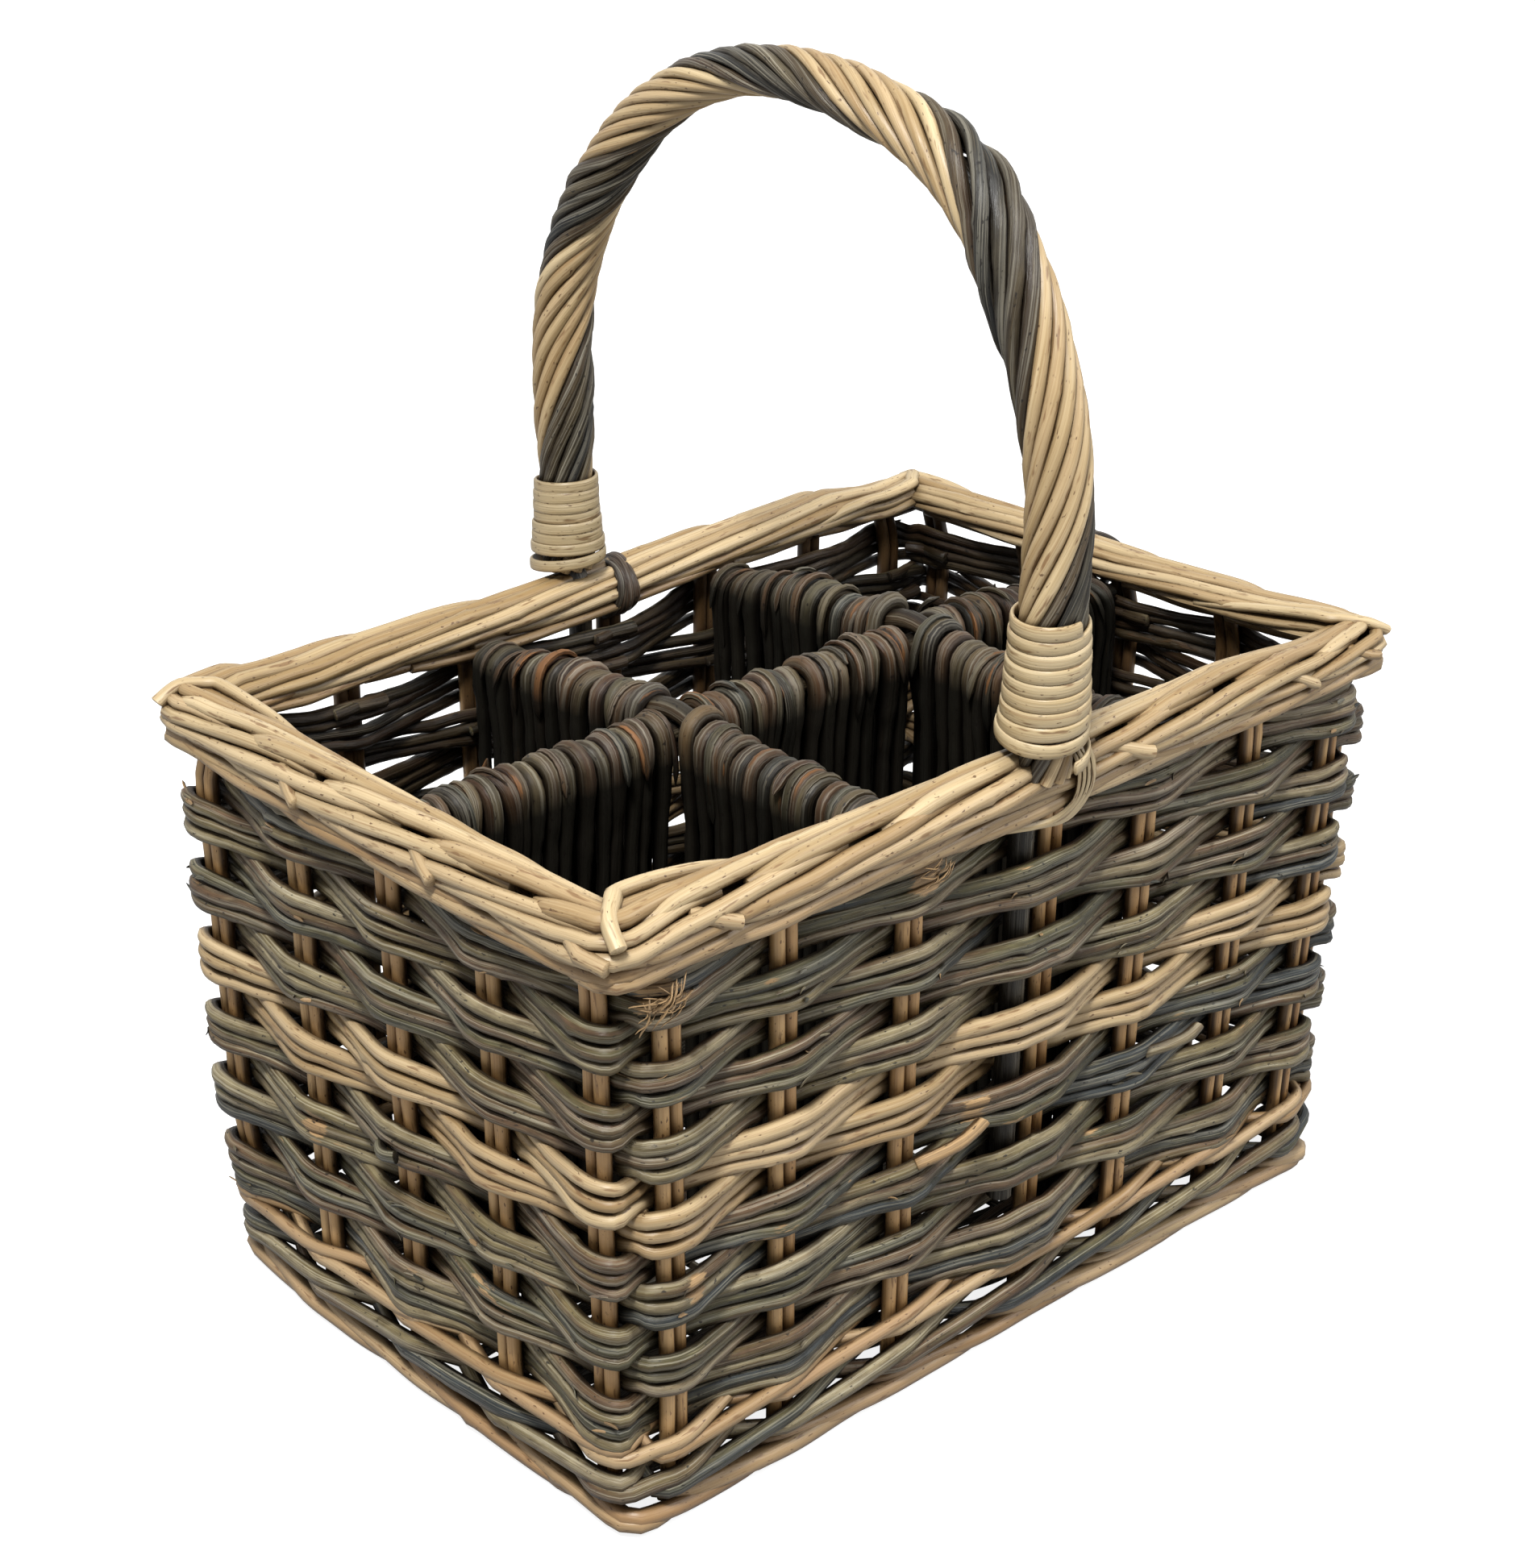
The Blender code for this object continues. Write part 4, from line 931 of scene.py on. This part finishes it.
def folded_rod(rods, place, across, half_wide, rail_lift, loose, look):
    """A rod folded over a rail at a place along it: up one side, over, and down the other."""
    rng = rods.rng
    thick = rng.uniform(0.0026, 0.0031)
    top = rail_height + rail_lift + rng.normal(0, 0.0005)
    turn = rail_radius + 0.0001 + thick
    legs = [(0.0029, base_top + 0.001), (0.0036, 0.06), (0.0042, 0.14), (0.0052, top - 0.02), (turn, top - 0.004)]
    arch = [(turn * math.cos(a), top + turn * 0.94 * math.sin(a)) for a in np.linspace(0, math.pi, 9)[1:-1]]
    outline = legs + arch + [(-wide, height) for wide, height in reversed(legs)]
    flat = rounded(outline, 1, 0.2)
    runs = run_lengths(flat)
    middle = runs[-1] / 2
    fine = np.concatenate([np.linspace(0, middle - 0.05, 9)[:-1], np.linspace(middle - 0.05, middle + 0.05, 44),
                           np.linspace(middle + 0.05, runs[-1], 9)[1:]])
    wide = np.interp(fine, runs, flat[:, 0])
    height = np.interp(fine, runs, flat[:, 1])
    near_top = np.exp(-(((fine - middle) / 0.022) ** 2))
    lean = rng.normal(0, 0.0016) * np.tanh((fine - middle) / 0.016) * np.exp(-((fine - middle) / 0.07) ** 2)
    shift = place + lean + wander(rng, fine, 0.0004)
    if across == "y":
        path = np.column_stack([shift, wide, height])
        up = (1, 0, 0)
    else:
        path = np.column_stack([wide, shift, height])
        up = (0, 1, 0)
    radius = thick * (1 + wander(rng, fine, 0.04))
    broad_top = np.exp(-(((fine - middle) / 0.034) ** 4))
    flare = 0.8 + 0.22 * broad_top + 0.06 * near_top + wander(rng, fine, 0.06, 0.01, 0.04)
    radius = radius * flare
    rods.add(path, radius, up, sides=12, wide=1.0 / 1.06, tall=half_wide / thick * rng.uniform(0.82, 0.96),
             peel=loose, tint=look, square=0.12, rough=0.07, warm=max(0.0, rng.normal(0.0, 0.3)))
    if rng.random() < 0.45:
        edge = rng.choice((-1, 1)) * half_wide * rng.uniform(0.3, 0.8)
        low = int(rng.integers(10, 24))
        high = low + int(rng.integers(16, 26))
        strip = path[low:high].copy()
        away = unit(path[low:high] - np.array([place if across == "y" else 0.0, 0.0 if across == "y" else place, top - 0.004]))
        away[:, 0 if across == "y" else 1] = 0.0
        strip += away * (thick * 0.92)
        strip[:, 0 if across == "y" else 1] += edge
        curl = np.linspace(0, 1, len(strip)) ** 6
        strip += away * (curl * rng.uniform(0.001, 0.0035))[:, None]
        rods.add(strip, 0.0011 * rng.uniform(0.7, 1.2), up, sides=6, tall=rng.uniform(1.0, 1.8), tint=rng.uniform(0, 1),
                 peel=loose + 0.3, rough=0.1, tips=(0.5, 0.25))


def partition_run(rods, low, high, count, across, lift):
    """A stretch of folded rods of uneven width, from low to high along the rail."""
    rng = rods.rng
    widths = rng.uniform(0.78, 1.25, count)
    edges = low + (high - low) * np.concatenate([[0.0], np.cumsum(widths) / widths.sum()])
    for k in range(count):
        place = (edges[k] + edges[k + 1]) / 2
        half = (edges[k + 1] - edges[k]) / 2
        folded_rod(rods, place, across, half, lift(place), max(0.0, rng.normal(0.05, 0.3)), rng.uniform(0, 1))


def make_partitions():
    inner_length = half_length(0.19) - 0.0108
    inner_width = half_width(0.19) - 0.0108
    rods = Rods(800)
    bare = 0.0075
    for low, high, count in ((-inner_length, -cross_place - bare, 16), (-cross_place + bare, cross_place - bare, 14),
                             (cross_place + bare, inner_length, 16)):
        partition_run(rods, low, high, count, "y", lambda place: 0.0)
    rods.make("partition_lengthwise_rods", fold_dark, ["partition_lengthwise"])
    for x, label in ((-cross_place, "left"), (cross_place, "right")):
        for side, end in ((-1, "front"), (1, "back")):
            rods = Rods(810 + side + (3 if x > 0 else 0))
            low, high = sorted((side * 0.0098, side * inner_width))
            partition_run(rods, low, high, 14, "x", ridge_hump)
            for block in rods.points:
                block[:, 0] += x
            rods.make("partition_%s_%s_rods" % (label, end), fold_dark,
                      ["partition_%s_%s" % (label, end)])
    reach = half_length(border_middle) - 0.008
    long_rail = spaced(np.array([(-reach, 0.0, rail_height), (reach, 0.0, rail_height)]), 0.005)[0]
    rods = Rods(820)
    rods.add(long_rail, rail_radius, (0, 0, 1), sides=12, knots=0.05, tint=0.3)
    rods.make("rail_lengthwise_rod", fold_dark, ["rail_lengthwise"])
    wide = half_width(border_middle) - 0.008
    for x, label in ((-cross_place, "left"), (cross_place, "right")):
        ys = np.linspace(-wide, wide, 60)
        path = np.column_stack([np.full_like(ys, x), ys, [rail_height + ridge_hump(y) for y in ys]])
        rods = Rods(830 + (x > 0))
        rods.add(path, rail_radius, (0, 0, 1), sides=12, knots=0.05, tint=0.35)
        rods.make("rail_cross_%s_rod" % label, fold_dark, ["rail_cross_" + label])


def handle_line(count):
    """The handle's middle line from the near foot to the far one, evenly spaced, with its frames."""
    points = [(-handle_foot_half_span, handle_foot_height)]
    points.append((-(handle_foot_half_span + handle_half_span) / 2, (handle_foot_height + handle_shoulder) / 2))
    for angle in np.linspace(0, math.pi, 60):
        y = handle_crown_shift * math.sin(angle) - handle_half_span * math.cos(angle)
        points.append((y, handle_shoulder + handle_half_span * math.sin(angle)))
    points += [(-y, z) for y, z in reversed(points[:2])]
    flat = np.array(points)
    fine = spaced(flat, (run_lengths(flat)[-1]) / count)[0]
    for _ in range(6):
        fine[1:-1] = (fine[:-2] + 2 * fine[1:-1] + fine[2:]) / 4
    along = unit(np.gradient(fine, axis=0))
    path = np.column_stack([np.full(len(fine), handle_place), fine])
    outward = np.column_stack([np.zeros(len(fine)), -along[:, 1], along[:, 0]])
    runs = run_lengths(fine)
    return path, np.column_stack([np.zeros(len(fine)), along]), outward, runs


# How far the wrap has turned, in degrees, at places along the handle from its near foot.
turn_places = (0.0, 0.051, 0.127, 0.186, 0.247, 0.298, 0.368, 0.411, 0.480, 0.527)
turn_degrees = (-215, -80, 116, 280, 476, 640, 836, 1000, 1196, 1330)
# Outer radius of the wrap at places along the handle from its near foot.
wrap_places = (0.0, 0.04, 0.049, 0.058, 0.09, 0.12, 0.16, 0.2, 0.24, 0.28, 0.32, 0.36, 0.42, 0.46, 0.47, 0.486, 0.495, 0.527)
wrap_radii = (0.0098, 0.0102, 0.0105, 0.0106, 0.0105, 0.0107, 0.0109, 0.0101, 0.0093, 0.0079, 0.0083, 0.0095, 0.0102, 0.0104, 0.0103,
              0.0098, 0.0092, 0.0094)


def make_handle():
    count = 190
    path, along, outward, runs = handle_line(count)
    turn = np.interp(runs, turn_places, turn_degrees)
    for _ in range(40):
        turn[1:-1] = (turn[:-2] + 2 * turn[1:-1] + turn[2:]) / 4
    turn = np.radians(turn)
    near_bulge = 0.0042 * np.exp(-(((runs - 0.19) / 0.04) ** 2))
    far_dip = 0.0016 * np.exp(-(((runs - 0.385) / 0.04) ** 2))
    path = path + outward * (near_bulge - far_dip)[:, None]
    outer = np.interp(runs, wrap_places, wrap_radii)
    for _ in range(6):
        outer[1:-1] = (outer[:-2] + 2 * outer[1:-1] + outer[2:]) / 4
    side = np.array([1.0, 0.0, 0.0])
    step = 2 * math.pi / 11
    for name, node, first, number, look, slot in (
            ("handle_strands_buff", "handle_wrap_buff", -6, 6, buff, "buff_willow"),
            ("handle_strands_dark", "handle_wrap_dark", -11, 5, handle_dark, "dark_willow")):
        rods = Rods(900 + number)
        rng = rods.rng
        for strand in range(number):
            swing = wander(rng, runs, 0.035, 0.06, 0.2)
            angle = turn + (first + strand + 0.5) * step + swing
            half = outer * math.sin(step / 2) / (1 + math.sin(step / 2))
            reach = outer - half * 0.97 + wander(rng, runs, 0.00018, 0.03, 0.09)
            if look is not buff:
                shoulder = np.exp(-(((runs - 0.18) / 0.04) ** 2))
                reach = reach + np.abs(wander(rng, runs, 0.0005, 0.04, 0.12)) + 0.0021 * (strand % 2) * shoulder
                reach = reach + np.abs(wander(rng, runs, 0.0007, 0.03, 0.07)) * shoulder
                half = half * (1.0 + wander(rng, runs, 0.08, 0.05, 0.15) + 0.12 * shoulder)
            radial = outward * np.cos(angle)[:, None] + side * np.sin(angle)[:, None]
            line = path + radial * reach[:, None]
            rods.add(line, half, radial, sides=12, wide=1.02, tall=0.97, knots=0.06 if look is buff else 0.03, square=0.08,
                     warm=rng.uniform(0, 0.3) if look is buff else max(0.0, rng.normal(0, 0.3)), peel=0.05,
                     tint=rng.uniform(0, 1), rough=0.02 if look is buff else 0.08)
        rods.make(name, look, [node], settle=False)
    sticks = Rods(950)
    core = path.copy()
    foot = [np.array([handle_place, -half_width(z), z]) for z in np.linspace(stick_foot, stake_top, 30)]
    low = np.array(foot)
    far = low.copy()
    far[:, 1] *= -1
    whole = np.vstack([low, core, far[::-1]])
    sticks.add(spaced(whole, 0.005)[0], stick_radius * 0.98, (1, 0, 0), sides=12, knots=0.06, tint=0.2)
    sticks.make("handle_sticks", inner_dark, ["handle_core"], settle=False)


def make_bindings():
    path, along, outward, runs = handle_line(300)
    side = np.array([1.0, 0.0, 0.0])
    for name, node, near, turns, low, high in (("near_binding_cane", "near_binding", True, 9, 0.0098, 0.054),
                                               ("far_binding_cane", "far_binding", False, 8, 0.0005, 0.0335)):
        rods = Rods(970 + turns)
        rng = rods.rng
        count = turns * 36
        turned_by = np.linspace(0, turns, count)
        places = np.interp(turned_by, (0.0, 1.0, turns), (low, low + 0.0066, high))
        angle = 2 * math.pi * turned_by
        loose = 1 - smooth(turned_by, 0.5, 1.3)
        tilt = 0.001 * np.cos(angle - 2.2) - 0.0022 * loose * np.cos(angle - 0.4) * (1 if near else 0.3)
        spots = places + tilt
        widen = np.interp(places, (0.0098, 0.0165, 0.03, 0.054), (0.0147, 0.0139, 0.013, 0.0118))
        if not near:
            spots = runs[-1] - spots
            angle = -angle
            widen = np.interp(places, (0.0, 0.006, 0.02, 0.034), (0.0134, 0.0127, 0.0112, 0.0107))
        widen = widen + wander(rng, np.abs(angle) * 0.011, 0.00018, 0.04, 0.15)
        middle = np.column_stack([np.interp(spots, runs, path[:, k]) for k in range(3)])
        out = unit(np.column_stack([np.interp(spots, runs, outward[:, k]) for k in range(3)]))
        ahead = unit(np.column_stack([np.interp(spots, runs, along[:, k]) for k in range(3)]))
        radial = out * np.cos(angle)[:, None] + side * np.sin(angle)[:, None]
        line = middle + radial * widen[:, None]
        half = 0.00245 if near else 0.0021
        wide = half * (1 + wander(rng, np.abs(angle) * 0.011, 0.05, 0.03, 0.1))
        rods.add(line, wide, ahead, sides=16, wide=0.34, tall=1.0, square=0.8, tint=0.6)
        rods.make(name, cane, [node], settle=False)


def make_lashing():
    rods = Rods(990)
    outer = half_width(border_middle) + border_overhang + 0.0098
    for k in range(4):
        x = 0.0055 + 0.0022 * k
        points = [(x - 0.002, -outer + 0.006, border_middle + 0.0105), (x, -outer - 0.0006, border_middle + 0.006),
                  (x + 0.0008, -outer - 0.0014, border_middle - 0.004), (x - 0.001, -outer + 0.0004, border_middle - 0.0115),
                  (x - 0.009, -outer + 0.002, border_middle - 0.0155 - 0.0006 * k), (x - 0.027, -outer + 0.004, border_middle - 0.0125)]
        path = spaced(rounded(points, 3, 0.25), 0.002)[0]
        up = unit(np.array([0.4, -1.0, 0.2]))
        rods.add(path, 0.0013, up, sides=8, wide=1.0, tall=0.42, square=0.5, tint=0.4 + 0.1 * k)
    rods.make("near_lashing_cane", cane, ["near_lashing"])


def make_ties():
    far = half_width(border_middle) + border_overhang
    end = half_length(border_middle) + border_overhang
    for name, node, x, y, facing, wide, aside, slant in (
            ("far_tie_rods", "far_border_tie", 0.0115, far, "y", 0.0104, 0.0001, 0.0022),
            ("end_tie_rods", "end_border_tie", end, 0.0165, "x", 0.0116, 0.0012, 0.0085)):
        rods = Rods(995)
        rng = rods.rng
        for k in range(4):
            shift = (k - 1.5) * 0.0028
            angle = np.linspace(0, 2 * math.pi, 48)
            reach = wide + 0.0005 * np.cos(3 * angle + k) + rng.uniform(-0.0003, 0.0003)
            across = reach * np.cos(angle) + aside
            up = border_middle - 0.0012 + reach * 1.05 * np.sin(angle)
            drift = shift + slant * np.sin(angle + 0.5 * k)
            if facing == "y":
                path = np.column_stack([x + drift, y + across, up])
                lift = (1, 0, 0)
            else:
                path = np.column_stack([x + across, y + drift, up])
                lift = (0, 1, 0)
            rods.add(path, 0.0016 * rng.uniform(0.85, 1.1), lift, sides=8, tint=rng.uniform(0, 1), peel=0.2, rough=0.08)
        rods.make(name, inner_dark, [node])


make_bands()
make_stakes()
make_wales()
make_top_border()
make_foot_border()
make_base()
make_partitions()
make_handle()
make_bindings()
make_lashing()
make_ties()


def plain_material(name, colour, roughness, glow):
    """A plain floor or backdrop colour, which shows a little brighter to the camera alone."""
    n = Nodes(name)
    n.shader.inputs["Base Color"].default_value = (*colour, 1.0)
    n.shader.inputs["Roughness"].default_value = roughness
    n.shader.inputs["Specular IOR Level"].default_value = 0.1
    seen = n.add("LightPath")
    n.shader.inputs["Emission Color"].default_value = (1.0, 1.0, 1.0, 1.0)
    n.put(n.shader.inputs["Emission Strength"], n.math("MULTIPLY", seen, glow))
    return n.material


def make_stage():
    mesh = bpy.data.meshes.new("floor")
    reach = 6.0
    corners = [(-reach, -reach, 0), (reach, -reach, 0), (reach, reach, 0), (-reach, reach, 0)]
    mesh.from_pydata(corners, [], [(0, 1, 2, 3)])
    floor = bpy.data.objects.new("floor", mesh)
    bpy.context.scene.collection.objects.link(floor)
    mesh.materials.append(plain_material("pale_floor", (0.5, 0.5, 0.5), 0.9, 0.86))


def make_light(name, place, aim, size, power):
    data = bpy.data.lights.new(name, "AREA")
    data.shape = "DISK"
    data.size = size
    data.energy = power
    lamp = bpy.data.objects.new(name, data)
    bpy.context.scene.collection.objects.link(lamp)
    lamp.location = place
    lamp.rotation_euler = (Vector(aim) - Vector(place)).to_track_quat("-Z", "Y").to_euler()


def make_world():
    world = bpy.data.worlds.new("studio")
    bpy.context.scene.world = world
    world.use_nodes = True
    tree = world.node_tree
    back = tree.nodes["Background"]
    back.inputs["Color"].default_value = (1.0, 1.0, 1.0, 1.0)
    path = tree.nodes.new("ShaderNodeLightPath")
    shown = tree.nodes.new("ShaderNodeMath")
    shown.operation = "MAXIMUM"
    tree.links.new(path.outputs["Is Camera Ray"], shown.inputs[0])
    tree.links.new(path.outputs["Is Glossy Ray"], shown.inputs[1])
    level = tree.nodes.new("ShaderNodeMapRange")
    level.inputs["To Min"].default_value = 0.33
    level.inputs["To Max"].default_value = 1.0
    tree.links.new(shown.outputs[0], level.inputs["Value"])
    tree.links.new(level.outputs[0], back.inputs["Strength"])


def make_camera():
    """The photograph's view: place, turn and lens fitted to the basket's stakes and rows."""
    data = bpy.data.cameras.new("camera")
    data.sensor_width = 36.0
    data.lens = 75.786
    data.clip_start = 0.05
    camera = bpy.data.objects.new("camera", data)
    bpy.context.scene.collection.objects.link(camera)
    turn = math.radians(-43.209)
    rise = math.radians(25.946)
    roll = math.radians(0.794)
    back = Vector((math.sin(turn) * math.cos(rise), -math.cos(turn) * math.cos(rise), math.sin(rise)))
    right = (-back).cross(Vector((0, 0, 1))).normalized()
    up = right.cross(-back)
    level_right = right * math.cos(roll) + up * math.sin(roll)
    level_up = up * math.cos(roll) - right * math.sin(roll)
    matrix = camera.matrix_world.copy()
    for row in range(3):
        matrix[row][0] = level_right[row]
        matrix[row][1] = level_up[row]
        matrix[row][2] = back[row]
    matrix[0][3] = -0.69910
    matrix[1][3] = -0.72974
    matrix[2][3] = 0.65894
    camera.matrix_world = matrix
    bpy.context.scene.camera = camera


make_stage()
make_light("key", (-0.95, -0.6, 2.1), (0.0, 0.0, 0.15), 0.5, 63.0)
make_light("fill", (1.2, -1.3, 1.3), (0.0, 0.0, 0.12), 0.9, 16.0)
make_world()
make_camera()
bpy.context.scene.view_settings.view_transform = "Standard"

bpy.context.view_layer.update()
